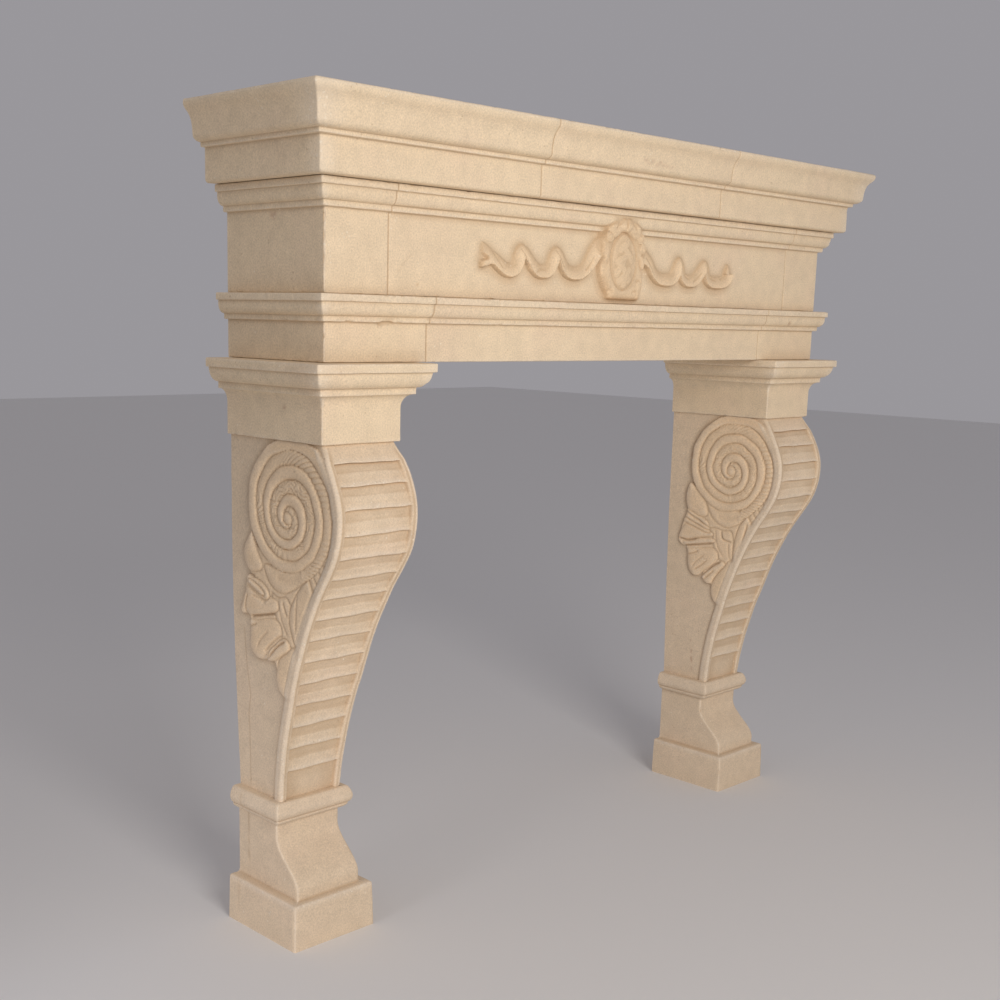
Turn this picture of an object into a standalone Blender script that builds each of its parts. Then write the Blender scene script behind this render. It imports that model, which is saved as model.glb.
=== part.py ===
"""A limestone fireplace mantel: two scroll legs with capitals carry a moulded entablature.

Metres, +Z up, +X to the right, the back plane towards +Y. The origin is on the floor, in the middle of the
mantel's width and depth. Every block is its own object, parted from its neighbours by a hairline joint.
"""
import bpy
import bmesh
from math import cos, hypot, pi, sin

# Heights of the courses, from the floor up
PLINTH_HEIGHT = 0.0881
FOOT_HEIGHT = 0.1332
BAND_HEIGHT = 0.0466
SHAFT_HEIGHT = 0.6760
CAPITAL_HEIGHT = 0.1387
ARCHITRAVE_WALL_HEIGHT = 0.0681
FRIEZE_WALL_HEIGHT = 0.1396
CROWN_HEIGHT = 0.0465
FASCIA_HEIGHT = 0.0593
SHELF_HEIGHT = 0.0775

# The entablature in plan
WALL_HALF_WIDTH = 0.7541
WALL_DEPTH = 0.2766
JOINT = 0.0003
CORNICE_JOINT_X = 0.282
FRIEZE_JOINT_X = 0.614
ARCHITRAVE_JOINT_X = 0.522

# How far the mouldings stand out from the wall below them
CROWN_LOW_FILLET_OUT = 0.0085
CROWN_OVOLO_OUT = 0.0208
CROWN_TOP_FILLET_OUT = 0.0256
CROWN_LOW_FILLET = 0.0100
CROWN_OVOLO = 0.0165
CROWN_TOP_FILLET = 0.0130
FASCIA_OUT = 0.0452
FASCIA_ARRIS = 0.0045
SHELF_FILLET_OUT = 0.0542
SHELF_FILLET = 0.0080
SHELF_OVOLO_OUT = 0.0700
SHELF_OVOLO = 0.0115
SHELF_COVE_FOOT_OUT = 0.0735
SHELF_COVE_TOP_OUT = 0.0810
SHELF_COVE = 0.0320
SHELF_NOSE_OUT = 0.0885
SHELF_NOSE_ROUND = 0.0085

# The capital: its block, and how far its mouldings stand out from the block
CAPITAL_HALF_WIDTH = 0.0894
CAPITAL_DEPTH = WALL_DEPTH
CAPITAL_BLOCK_HEIGHT = 0.0580
CAPITAL_ARRIS = 0.0040
CAPITAL_CAVETTO_OUT = 0.0165
CAPITAL_CAVETTO = 0.0255
CAPITAL_FILLET_OUT = 0.0192
CAPITAL_FILLET = 0.0120
CAPITAL_OVOLO_OUT = 0.0395
CAPITAL_OVOLO = 0.0265
CAPITAL_TOP_FILLET_OUT = 0.0456

# The leg
LEG_X = 0.668
PLINTH_HALF_WIDTH = 0.0935
PLINTH_DEPTH = 0.2085
PLINTH_ARRIS = 0.0030
FOOT_HALF_WIDTH = 0.0725
FOOT_TOP_DEPTH = 0.1264
FOOT_BOTTOM_DEPTH = 0.1905
FOOT_SWEEP_TOP = 0.107
FOOT_SWEEP_BOTTOM = 0.017
FOOT_STEPS = 6
BAND_BEAD_OUT = 0.0120
BAND_BEAD = 0.0120
BAND_OUT = 0.0170

# The outline of the band above its bead: share of the height left over the bead, then share of BAND_OUT
BAND_ROUND = ((0.0, 0.86), (0.225, 0.96), (0.45, 1.0), (0.675, 0.96), (0.9, 0.75), (1.0, 0.45))
SHAFT_BACK_HALF_TOP = 0.0815
SHAFT_BACK_HALF_FOOT = 0.0690
EDGE_ROLL_PROUD = 0.0098
EDGE_ROLL_PROUD_FOOT = 0.0068
EDGE_ROLL_WIDTH = 0.0190
EDGE_ROLL_ROUND = 0.0060
EDGE_ROLL_CORNER_SHARE = 0.3
SHAFT_FOOT_DEPTH = 0.1350
SHAFT_BULGE_OUT = 0.0479
SHAFT_BULGE_DEPTH = CAPITAL_DEPTH + SHAFT_BULGE_OUT
FRONT_LINE_STEPS = 400

# The front line of the shaft: height as a share of the shaft's height, then how far it is between the shaft's
# depth at the foot (0) and at the fullest part of the bulge (1)
SHAFT_LINE = ((0.0, 0.0), (0.077, 0.032), (0.195, 0.119), (0.348, 0.285), (0.487, 0.472), (0.595, 0.668),
              (0.710, 0.922), (0.787, 1.0), (0.861, 0.984), (0.943, 0.852), (1.0, 0.704))

# The ribbed panel on the shaft's front
RIB_COUNT = 15
RIB_FOOT_OFFSET = 0.052
RIB_PITCH = 0.0462
RIB_FLAT_SHARE = 0.55
PANEL_MARGIN = 0.0155
PANEL_DEPTH = 0.0105
RIB_EDGE_DEPTH = 0.0045

# The side volute: a smooth spiral band on a lower disc. At the bulge the band runs into the edge roll, so that its
# own outer edge would lie a little past the front line.
VOLUTE_OVERRUN = 0.0030
VOLUTE_DROP = 0.125
VOLUTE_RADIUS = 0.1395
VOLUTE_DEPTH = SHAFT_BULGE_DEPTH - VOLUTE_RADIUS + VOLUTE_OVERRUN
VOLUTE_PITCH = 0.044
VOLUTE_BAND_WIDTH = 0.0205
VOLUTE_BAND_BEVEL = 0.0041
VOLUTE_BAND_EDGE_PROUD = 0.0049
VOLUTE_DISC_PROUD = 0.0070
VOLUTE_TURNS = 2.6
VOLUTE_STEPS = 16
VOLUTE_BOSS_RADIUS = 0.016
VOLUTE_BOSS_TOP_RADIUS = 0.0096
VOLUTE_BOSS_EDGE_PROUD = 0.0088
VOLUTE_BOSS_PROUD = 0.0108
VOLUTE_BOSS_STEPS = 10
VOLUTE_FRONT_MARGIN = 0.004
RELIEF_ROOT = 0.006

# Where the edge roll starts to sink beside the volute, and where it is gone: shares of the volute's radius above
# its eye
ROLL_SINKS = 0.48
ROLL_GONE = 0.70

# The volute's tail and the acanthus leaf below it: for each lobe its height over the side, and its outline as
# depth from the back and height above the shaft's foot
SIDE_LOBES = {
    "volute_tail": (0.0070, ((0.2835, 0.551), (0.269, 0.492), (0.240, 0.460), (0.256, 0.422), (0.272, 0.452),
                             (0.289, 0.480), (0.303, 0.520), (0.307, 0.551))),
    "body": (0.0045, ((0.140, 0.400), (0.172, 0.396), (0.198, 0.372), (0.205, 0.332), (0.182, 0.302),
                      (0.150, 0.306), (0.118, 0.332), (0.066, 0.344), (0.092, 0.360))),
    "upper_lobe": (0.0065, ((0.064, 0.500), (0.054, 0.474), (0.054, 0.448), (0.066, 0.432), (0.104, 0.420),
                            (0.120, 0.444), (0.106, 0.467), (0.090, 0.484))),
    "cup_lobe": (0.0075, ((0.118, 0.464), (0.126, 0.430), (0.146, 0.408), (0.172, 0.402), (0.198, 0.410),
                          (0.224, 0.428), (0.216, 0.450))),
    "folded_lobe": (0.0060, ((0.036, 0.356), (0.040, 0.382), (0.056, 0.402), (0.064, 0.421), (0.106, 0.413),
                             (0.137, 0.397), (0.150, 0.372), (0.128, 0.360), (0.088, 0.361))),
    "broad_lobe": (0.0070, ((0.064, 0.330), (0.066, 0.292), (0.078, 0.272), (0.096, 0.270), (0.112, 0.281),
                            (0.126, 0.302), (0.122, 0.334), (0.094, 0.338))),
    "curl": (0.0080, ((0.112, 0.281), (0.124, 0.263), (0.140, 0.261), (0.152, 0.281), (0.162, 0.308),
                      (0.126, 0.302))),
    "tail_lobe": (0.0065, ((0.145, 0.264), (0.141, 0.235), (0.150, 0.215), (0.168, 0.204), (0.182, 0.232),
                           (0.196, 0.276), (0.204, 0.320), (0.162, 0.307), (0.152, 0.282))),
    "bud": (0.0085, ((0.168, 0.382), (0.176, 0.368), (0.197, 0.369), (0.200, 0.392), (0.184, 0.402))),
    "blade": (0.0080, ((0.243, 0.449), (0.214, 0.424), (0.198, 0.372), (0.200, 0.332), (0.208, 0.311),
                       (0.220, 0.334), (0.240, 0.390), (0.264, 0.434))),
}
LOBE_EDGE_SHARE = 0.35
LOBE_TOP_SHARE = 0.66

# The cartouche on the frieze: heights are above the frieze's foot, and outs are from its wall
CARTOUCHE_OUTLINE = ((0.046, 0.008), (0.060, 0.026), (0.069, 0.052), (0.072, 0.080), (0.069, 0.110),
                     (0.060, 0.134), (0.046, 0.155), (0.030, 0.168), (0.012, 0.173))
CARTOUCHE_PLATE_OUT = 0.0170
CARTOUCHE_EDGE_OUT = 0.0120
CARTOUCHE_TOP_SHARE = 0.88
OVAL_HEIGHT = 0.084
OVAL_HALF_WIDTH = 0.041
OVAL_HALF_HEIGHT = 0.057
OVAL_RIM_RADIUS = 0.0075
OVAL_RIM_OUT = 0.0180
OVAL_RIM_STEPS = 20
ROUND_STEPS = 6
OVAL_DOME_OUT = 0.0220
CREST_LOBE_OUT = 0.0320
CREST_LOBE = ((0.026, 0.150), (0.030, 0.022))
CURL_PLACE = (0.049, 0.129)
CURL_RADIUS = 0.0125
CURL_OUT = 0.0260

# The ribbons, one each side of the cartouche, from its side to their swallow-tailed ends
RIBBON_START_X = 0.055
RIBBON_END_X = 0.400
RIBBON_HEIGHT = 0.070
RIBBON_BAND = 0.031
RIBBON_SWING = 0.014
RIBBON_WAVE = 0.090
RIBBON_FIRST_LOW_X = 0.147
RIBBON_EDGE_OUT = 0.0120
RIBBON_EDGE_SWING = 0.0050
RIBBON_TOP_OUT = 0.0070
RIBBON_STEPS = 30

MERGE = 0.00005
ARC_STEPS = 4

# Heights that follow from the courses
BAND_FOOT_Z = PLINTH_HEIGHT + FOOT_HEIGHT
SHAFT_FOOT_Z = BAND_FOOT_Z + BAND_HEIGHT
CAPITAL_FOOT_Z = SHAFT_FOOT_Z + SHAFT_HEIGHT
ARCHITRAVE_FOOT_Z = CAPITAL_FOOT_Z + CAPITAL_HEIGHT
FRIEZE_FOOT_Z = ARCHITRAVE_FOOT_Z + ARCHITRAVE_WALL_HEIGHT + CROWN_HEIGHT
CORNICE_FOOT_Z = FRIEZE_FOOT_Z + FRIEZE_WALL_HEIGHT + CROWN_HEIGHT
BACK_Y = (WALL_DEPTH + SHELF_NOSE_OUT) / 2


def place(x, depth, z):
    """A point by its depth from the back plane."""
    return (x, BACK_Y - depth, z)


def clear_scene():
    """Remove what the scene held before."""
    for obj in list(bpy.data.objects):
        bpy.data.objects.remove(obj, do_unlink=True)


def new_collection(name):
    collection = bpy.data.collections.new(name)
    bpy.context.scene.collection.children.link(collection)
    return collection


def limestone(name, colour, roughness):
    """A matte stone; each course has its own slight tone."""
    material = bpy.data.materials.new(name)
    material.use_nodes = True
    shader = material.node_tree.nodes["Principled BSDF"]
    shader.inputs["Base Color"].default_value = (*colour, 1.0)
    shader.inputs["Roughness"].default_value = roughness
    shader.inputs["Metallic"].default_value = 0.0
    return material


def new_object(name, mesh, collection, material=None):
    obj = bpy.data.objects.new(name, mesh)
    collection.objects.link(obj)
    if material:
        mesh.materials.clear()
        mesh.materials.append(material)
    return obj


def loft(name, sections):
    """A closed mesh through sections that all have the same number of points."""
    bm = bmesh.new()
    rings = [[bm.verts.new(point) for point in section] for section in sections]
    for lower, upper in zip(rings, rings[1:]):
        for i in range(len(lower)):
            j = (i + 1) % len(lower)
            bm.faces.new((lower[i], lower[j], upper[j], upper[i]))
    bm.faces.new(rings[0][::-1])
    bm.faces.new(rings[-1])
    bmesh.ops.remove_doubles(bm, verts=bm.verts, dist=MERGE)
    bmesh.ops.dissolve_degenerate(bm, edges=bm.edges, dist=MERGE)
    bmesh.ops.recalc_face_normals(bm, faces=bm.faces)
    mesh = bpy.data.meshes.new(name)
    bm.to_mesh(mesh)
    bm.free()
    return mesh


def quarter_arc(start, end, convex):
    """Quarter of an ellipse in (out, height): an ovolo leaves its start level, a cavetto leaves it upright."""
    points = []
    for step in range(ARC_STEPS + 1):
        angle = pi / 2 * step / ARC_STEPS
        level, upright = (sin(angle), 1 - cos(angle)) if convex else (1 - cos(angle), sin(angle))
        points.append((start[0] + (end[0] - start[0]) * level, start[1] + (end[1] - start[1]) * upright))
    return points


def crown_profile(foot):
    """Fillet, ovolo and top fillet, from the wall's top up."""
    ovolo_foot = foot + CROWN_LOW_FILLET
    fillet_foot = foot + CROWN_HEIGHT - CROWN_TOP_FILLET
    return [(0.0, foot), (CROWN_LOW_FILLET_OUT, foot), (CROWN_LOW_FILLET_OUT, ovolo_foot),
            *quarter_arc((CROWN_LOW_FILLET_OUT, ovolo_foot), (CROWN_OVOLO_OUT, ovolo_foot + CROWN_OVOLO), True),
            (CROWN_OVOLO_OUT, fillet_foot), (CROWN_TOP_FILLET_OUT, fillet_foot),
            (CROWN_TOP_FILLET_OUT, foot + CROWN_HEIGHT)]


def wall_and_crown_profile(wall_height):
    return [(0.0, 0.0), *crown_profile(wall_height)]


def cornice_profile():
    """Fascia with a rounded lower arris, fillet, ovolo, long cove and a rounded nose."""
    ovolo_foot = FASCIA_HEIGHT + SHELF_FILLET
    cove_foot = ovolo_foot + SHELF_OVOLO
    nose_foot = cove_foot + SHELF_COVE
    top = FASCIA_HEIGHT + SHELF_HEIGHT
    nose_in = SHELF_NOSE_OUT - SHELF_NOSE_ROUND / 2
    return [(FASCIA_OUT - FASCIA_ARRIS, 0.0), (FASCIA_OUT, FASCIA_ARRIS), (FASCIA_OUT, FASCIA_HEIGHT),
            (SHELF_FILLET_OUT, FASCIA_HEIGHT), (SHELF_FILLET_OUT, ovolo_foot),
            *quarter_arc((SHELF_FILLET_OUT, ovolo_foot), (SHELF_OVOLO_OUT, cove_foot), True),
            (SHELF_COVE_FOOT_OUT, (cove_foot + nose_foot) / 2),
            *quarter_arc((SHELF_COVE_FOOT_OUT, (cove_foot + nose_foot) / 2),
                         (SHELF_COVE_TOP_OUT, nose_foot), False),
            *quarter_arc((SHELF_COVE_TOP_OUT, nose_foot),
                         (SHELF_NOSE_OUT, nose_foot + SHELF_NOSE_ROUND), True),
            (SHELF_NOSE_OUT, top - SHELF_NOSE_ROUND), (nose_in, top)]


def capital_profile():
    """Plain block, cavetto, fillet, ovolo and top fillet."""
    cavetto_top = CAPITAL_BLOCK_HEIGHT + CAPITAL_CAVETTO
    ovolo_foot = cavetto_top + CAPITAL_FILLET
    ovolo_top = ovolo_foot + CAPITAL_OVOLO
    return [(-CAPITAL_ARRIS, 0.0), (0.0, CAPITAL_ARRIS),
            *quarter_arc((0.0, CAPITAL_BLOCK_HEIGHT), (CAPITAL_CAVETTO_OUT, cavetto_top), False),
            (CAPITAL_FILLET_OUT, cavetto_top), (CAPITAL_FILLET_OUT, ovolo_foot),
            *quarter_arc((CAPITAL_FILLET_OUT, ovolo_foot), (CAPITAL_OVOLO_OUT, ovolo_top), True),
            (CAPITAL_TOP_FILLET_OUT, ovolo_top), (CAPITAL_TOP_FILLET_OUT, CAPITAL_HEIGHT)]


def rectangle(left, right, depth, z):
    return [place(left, 0.0, z), place(left, depth, z), place(right, depth, z), place(right, 0.0, z)]


def course_block(name, profile, foot, left, right):
    """One block of a course. A side at a joint is cut square; a side at None returns with the moulding."""
    base, top = profile[0][1], profile[-1][1]
    sections = []
    for out, height in profile:
        lift = JOINT if height == base else 0.0
        drop = JOINT if height == top else 0.0
        x_left = -WALL_HALF_WIDTH - out if left is None else left + JOINT / 2
        x_right = WALL_HALF_WIDTH + out if right is None else right - JOINT / 2
        sections.append(rectangle(x_left, x_right, WALL_DEPTH + out, foot + height + (lift - drop) / 2))
    return loft(name, sections)


def build_course(name, profile, foot, joint_x, collection, material):
    """Left, middle and right blocks of one course."""
    spans = {"left": (None, -joint_x), "middle": (-joint_x, joint_x), "right": (joint_x, None)}
    return {side: new_object(f"{name}_{side}", course_block(name, profile, foot, *span), collection, material)
            for side, span in spans.items()}


def build_capital(collection, material):
    """The capital of one leg, twice."""
    for side, x in (("left", -LEG_X), ("right", LEG_X)):
        sections = []
        profile = capital_profile()
        for out, height in profile:
            half = CAPITAL_HALF_WIDTH + out
            trim = JOINT / 2 if height == 0.0 else -JOINT / 2 if height == CAPITAL_HEIGHT else 0.0
            sections.append(rectangle(x - half, x + half, CAPITAL_DEPTH + out, CAPITAL_FOOT_Z + height + trim))
        new_object(f"capital_{side}", loft("capital", sections), collection, material)


def shaft_depth(height):
    """Depth of the shaft's front line at a height above its foot: a smooth curve through SHAFT_LINE."""
    share = min(max(height / SHAFT_HEIGHT, 0.0), 1.0)
    last = len(SHAFT_LINE) - 1
    i = max(k for k in range(last) if SHAFT_LINE[k][0] <= share)

    def slope(k):
        low, high = SHAFT_LINE[max(k - 1, 0)], SHAFT_LINE[min(k + 1, last)]
        return (high[1] - low[1]) / (high[0] - low[0])

    (s0, v0), (s1, v1) = SHAFT_LINE[i], SHAFT_LINE[i + 1]
    span = s1 - s0
    t = (share - s0) / span
    value = (v0 * (1 + 2 * t) * (1 - t) ** 2 + v1 * t * t * (3 - 2 * t)
             + span * (slope(i) * t * (1 - t) ** 2 - slope(i + 1) * t * t * (1 - t)))
    return SHAFT_FOOT_DEPTH + (SHAFT_BULGE_DEPTH - SHAFT_FOOT_DEPTH) * value


def side_half_width(height):
    """Half the width between the shaft's side grounds; it tapers below the volute."""
    taper_top = SHAFT_HEIGHT - VOLUTE_DROP - VOLUTE_RADIUS
    share = min(max(height / taper_top, 0.0), 1.0)
    return SHAFT_BACK_HALF_FOOT + (SHAFT_BACK_HALF_TOP - SHAFT_BACK_HALF_FOOT) * share


def roll_proud(height):
    """How far the edge roll stands out from the side ground; it dies out where the volute leaves the edge."""
    eye = SHAFT_HEIGHT - VOLUTE_DROP
    above_eye = (height - eye) / VOLUTE_RADIUS
    fade = min(max((ROLL_GONE - above_eye) / (ROLL_GONE - ROLL_SINKS), 0.0), 1.0)
    share = min(height / (eye - VOLUTE_RADIUS), 1.0)
    return fade * (EDGE_ROLL_PROUD_FOOT + (EDGE_ROLL_PROUD - EDGE_ROLL_PROUD_FOOT) * share)


def height_along_front(length):
    """The height at which the front line, measured from the shaft's foot, has the given length."""
    travelled = 0.0
    previous = (0.0, shaft_depth(0.0))
    for step in range(1, FRONT_LINE_STEPS + 1):
        height = SHAFT_HEIGHT * step / FRONT_LINE_STEPS
        point = (height, shaft_depth(height))
        part = hypot(point[0] - previous[0], point[1] - previous[1])
        if travelled + part >= length:
            return previous[0] + (height - previous[0]) * (length - travelled) / part
        travelled += part
        previous = point
    return SHAFT_HEIGHT


def panel_levels():
    """Heights and depths of the ribbed panel: each rib rises from a flat and ends in a sharp step."""
    edges = [RIB_FOOT_OFFSET + RIB_PITCH * i for i in range(RIB_COUNT)]
    levels = [(0.0, PANEL_DEPTH)]
    for index, edge in enumerate(edges):
        height = height_along_front(edge)
        levels.append((height, PANEL_DEPTH))
        if index < RIB_COUNT - 1:
            levels.append((height, RIB_EDGE_DEPTH))
            ramp_top = height_along_front(edge + RIB_PITCH * (1 - RIB_FLAT_SHARE))
            levels.append((ramp_top, PANEL_DEPTH))
        else:
            levels.append((height, 0.0))
    return levels + [(height, 0.0) for height in band_above_ribs(levels[-1][0])]


def band_above_ribs(foot):
    """Levels of the plain band between the top rib and the capital."""
    return [foot + (SHAFT_HEIGHT - foot) * share for share in (0.5, 1.0)]


def shaft_section(x, height, sunk, z):
    """Corner by corner round one side: side ground, edge roll, margin and sunk panel; then the same mirrored."""
    ground = side_half_width(height)
    roll = ground + roll_proud(height)
    front = shaft_depth(height)
    bend = EDGE_ROLL_ROUND
    corner = bend * EDGE_ROLL_CORNER_SHARE
    flank = [(ground, 0.0), (ground, front - EDGE_ROLL_WIDTH - bend), (roll, front - EDGE_ROLL_WIDTH),
             (roll, front - bend), (roll - corner, front - corner), (roll - bend, front),
             (roll - PANEL_MARGIN, front), (roll - PANEL_MARGIN, front - sunk)]
    left = [place(x - half, depth, z) for half, depth in flank]
    right = [place(x + half, depth, z) for half, depth in reversed(flank)]
    return left + right


def block_section(x, half, depth, z):
    """A plain rectangle with as many points as a shaft section, bunched at its corners."""
    share = (0.0, 0.9, 0.94, 0.97, 1.0)
    flank = [(half, depth * s) for s in share] + [(half * s, depth) for s in (0.95, 0.8, 0.78)]
    left = [place(x - h, d, z) for h, d in flank]
    right = [place(x + h, d, z) for h, d in reversed(flank)]
    return left + right


def foot_depth(height):
    """Depth of the foot at a height above the plinth: it sweeps out towards the plinth."""
    share = (FOOT_SWEEP_TOP - height) / (FOOT_SWEEP_TOP - FOOT_SWEEP_BOTTOM)
    share = min(max(share, 0.0), 1.0)
    return FOOT_TOP_DEPTH + (FOOT_BOTTOM_DEPTH - FOOT_TOP_DEPTH) * (1 - cos(pi * share)) / 2


def leg_base_sections(x):
    """Plinth, foot and band."""
    sections = [block_section(x, PLINTH_HALF_WIDTH, PLINTH_DEPTH, 0.0),
                block_section(x, PLINTH_HALF_WIDTH, PLINTH_DEPTH, PLINTH_HEIGHT - PLINTH_ARRIS),
                block_section(x, PLINTH_HALF_WIDTH - PLINTH_ARRIS, PLINTH_DEPTH - PLINTH_ARRIS, PLINTH_HEIGHT)]
    sweep = FOOT_SWEEP_TOP - FOOT_SWEEP_BOTTOM
    curve = [FOOT_SWEEP_BOTTOM + sweep * i / FOOT_STEPS for i in range(FOOT_STEPS + 1)]
    for height in (0.0, *curve, FOOT_HEIGHT):
        sections.append(block_section(x, FOOT_HALF_WIDTH, foot_depth(height), PLINTH_HEIGHT + height))
    bead_top = BAND_FOOT_Z + BAND_BEAD
    profile = [(BAND_BEAD_OUT / 2, BAND_FOOT_Z), (BAND_BEAD_OUT, BAND_FOOT_Z + BAND_BEAD / 2)]
    profile.append((BAND_BEAD_OUT, bead_top))
    profile += [(BAND_OUT * out, bead_top + (BAND_HEIGHT - BAND_BEAD) * rise) for rise, out in BAND_ROUND]
    for out, z in profile:
        sections.append(block_section(x, FOOT_HALF_WIDTH + out, SHAFT_FOOT_DEPTH + out, z))
    return sections


def leg_blank():
    """The leg without its side carving."""
    sections = leg_base_sections(0.0)
    for height, sunk in panel_levels():
        z = SHAFT_FOOT_Z + height - (JOINT / 2 if height >= SHAFT_HEIGHT else 0.0)
        sections.append(shaft_section(0.0, height, sunk, z))
    return loft("leg", sections)


def spiral_point(radius, turn, out):
    """A point of the side relief by its radius and turn round the volute's eye, kept inside the leg's outline."""
    height = SHAFT_HEIGHT - VOLUTE_DROP + radius * sin(2 * pi * turn)
    depth = min(VOLUTE_DEPTH + radius * cos(2 * pi * turn), shaft_depth(height) - VOLUTE_FRONT_MARGIN)
    ground = side_half_width(SHAFT_HEIGHT)
    z = min(SHAFT_FOOT_Z + height, CAPITAL_FOOT_Z - 2 * JOINT)
    return place(ground + out, depth, z)


def volute_band():
    """The raised spiral band: a loft of trapezoids along an Archimedean spiral."""
    sections = []
    steps = int(VOLUTE_TURNS * VOLUTE_STEPS)
    for step in range(steps + 1):
        turn = step / VOLUTE_STEPS
        outer = VOLUTE_RADIUS - VOLUTE_PITCH * turn
        inner = outer - VOLUTE_BAND_WIDTH
        sections.append([spiral_point(outer, turn, -RELIEF_ROOT),
                         spiral_point(outer, turn, VOLUTE_BAND_EDGE_PROUD),
                         spiral_point(outer - VOLUTE_BAND_BEVEL, turn, EDGE_ROLL_PROUD),
                         spiral_point(inner + VOLUTE_BAND_BEVEL, turn, EDGE_ROLL_PROUD),
                         spiral_point(inner, turn, -RELIEF_ROOT)])
    return loft("volute_band", sections)


def volute_disc():
    """The lower band between the turns: a spiral-edged disc under the raised band."""
    rim = [(VOLUTE_RADIUS - VOLUTE_BAND_WIDTH / 2 - VOLUTE_PITCH * step / VOLUTE_STEPS, step / VOLUTE_STEPS)
           for step in range(VOLUTE_STEPS)]
    sections = [[spiral_point(radius, turn, out) for radius, turn in rim]
                for out in (-RELIEF_ROOT, VOLUTE_DISC_PROUD)]
    return loft("volute_disc", sections)


def volute_boss():
    """The small eye of the volute."""
    sections = []
    for radius, out in ((VOLUTE_BOSS_RADIUS, -RELIEF_ROOT), (VOLUTE_BOSS_RADIUS, VOLUTE_BOSS_EDGE_PROUD),
                        (VOLUTE_BOSS_TOP_RADIUS, VOLUTE_BOSS_PROUD)):
        sections.append([spiral_point(radius, step / VOLUTE_BOSS_STEPS, out) for step in range(VOLUTE_BOSS_STEPS)])
    return loft("volute_boss", sections)


def leaf_lobe(name, proud, outline):
    """One lobe of the side carving: an outline that draws in towards a flat top."""
    middle_depth = sum(depth for depth, height in outline) / len(outline)
    middle_height = sum(height for depth, height in outline) / len(outline)
    sections = []
    for share, out in ((1.0, -RELIEF_ROOT), (1.0, proud * LOBE_EDGE_SHARE), (LOBE_TOP_SHARE, proud)):
        ring = []
        for depth, height in outline:
            d = middle_depth + (depth - middle_depth) * share
            h = middle_height + (height - middle_height) * share
            ring.append(place(side_half_width(h) + out, d, SHAFT_FOOT_Z + h))
        sections.append(ring)
    return loft(name, sections)


def frieze_point(x, out, height):
    return place(x, WALL_DEPTH + out, FRIEZE_FOOT_Z + height)


def cartouche_plate():
    """The shield's body, symmetric about the mantel's middle."""
    right = list(CARTOUCHE_OUTLINE)
    outline = right + [(-x, height) for x, height in reversed(right)]
    middle = sum(height for x, height in outline) / len(outline)
    sections = []
    for share, out in ((1.0, -RELIEF_ROOT), (1.0, CARTOUCHE_EDGE_OUT), (CARTOUCHE_TOP_SHARE, CARTOUCHE_PLATE_OUT)):
        ring = [(x * share, middle + (height - middle) * share) for x, height in outline]
        sections.append([frieze_point(x, out, height) for x, height in ring])
    return loft("cartouche_plate", sections)


def cartouche_rim():
    """The raised oval rim, a stretched torus."""
    bpy.ops.mesh.primitive_torus_add(major_segments=OVAL_RIM_STEPS, minor_segments=ROUND_STEPS, major_radius=1.0,
                                     minor_radius=OVAL_RIM_RADIUS / OVAL_HALF_WIDTH,
                                     location=frieze_point(0.0, OVAL_RIM_OUT, OVAL_HEIGHT), rotation=(pi / 2, 0, 0))
    return scaled_primitive("cartouche_rim", (OVAL_HALF_WIDTH, OVAL_HALF_HEIGHT, OVAL_HALF_WIDTH))


def ellipsoid(name, x, out_centre, height, half_width, half_height, out):
    """A stretched ball, sunk into the wall to its middle."""
    bpy.ops.mesh.primitive_uv_sphere_add(segments=2 * ROUND_STEPS, ring_count=ROUND_STEPS, radius=1.0,
                                         location=frieze_point(x, out_centre, height), rotation=(pi / 2, 0, 0))
    return scaled_primitive(name, (half_width, half_height, out))


def scaled_primitive(name, scale):
    """Take the primitive just added, scale it in its own axes and return its mesh in world space."""
    obj = bpy.context.active_object
    obj.scale = scale
    bpy.context.view_layer.update()
    mesh = obj.data
    mesh.transform(obj.matrix_world)
    mesh.name = name
    bpy.data.objects.remove(obj, do_unlink=True)
    return mesh


def ribbon(side):
    """One fluttering ribbon: its middle line and its relief swing along X."""
    sections = []
    for step in range(RIBBON_STEPS + 1):
        run = RIBBON_START_X + (RIBBON_END_X - RIBBON_START_X) * step / RIBBON_STEPS
        phase = 2 * pi * (run - RIBBON_FIRST_LOW_X) / RIBBON_WAVE
        middle = RIBBON_HEIGHT - RIBBON_SWING * cos(phase)
        half = RIBBON_BAND / 2
        edge_out = RIBBON_EDGE_OUT + RIBBON_EDGE_SWING * cos(phase)
        corners = ((-RELIEF_ROOT, middle - half), (edge_out, middle - half), (RIBBON_TOP_OUT, middle + half),
                   (-RELIEF_ROOT, middle + half))
        sections.append([frieze_point(side * run, out, height) for out, height in corners])
    return loft("ribbon", sections)


def add_boolean(target, mesh, cutters):
    """Join a guide solid to the target with a live Boolean union."""
    guide = new_object(mesh.name, mesh, cutters)
    guide.hide_render = True
    guide.display_type = "WIRE"
    modifier = target.modifiers.new(mesh.name, "BOOLEAN")
    modifier.operation = "UNION"
    modifier.solver = "EXACT"
    modifier.object = guide


def finished_mesh(obj, name):
    """The mesh that an object's modifiers make."""
    bpy.context.view_layer.update()
    graph = bpy.context.evaluated_depsgraph_get()
    mesh = bpy.data.meshes.new_from_object(obj.evaluated_get(graph))
    mesh.name = name
    return mesh


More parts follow.
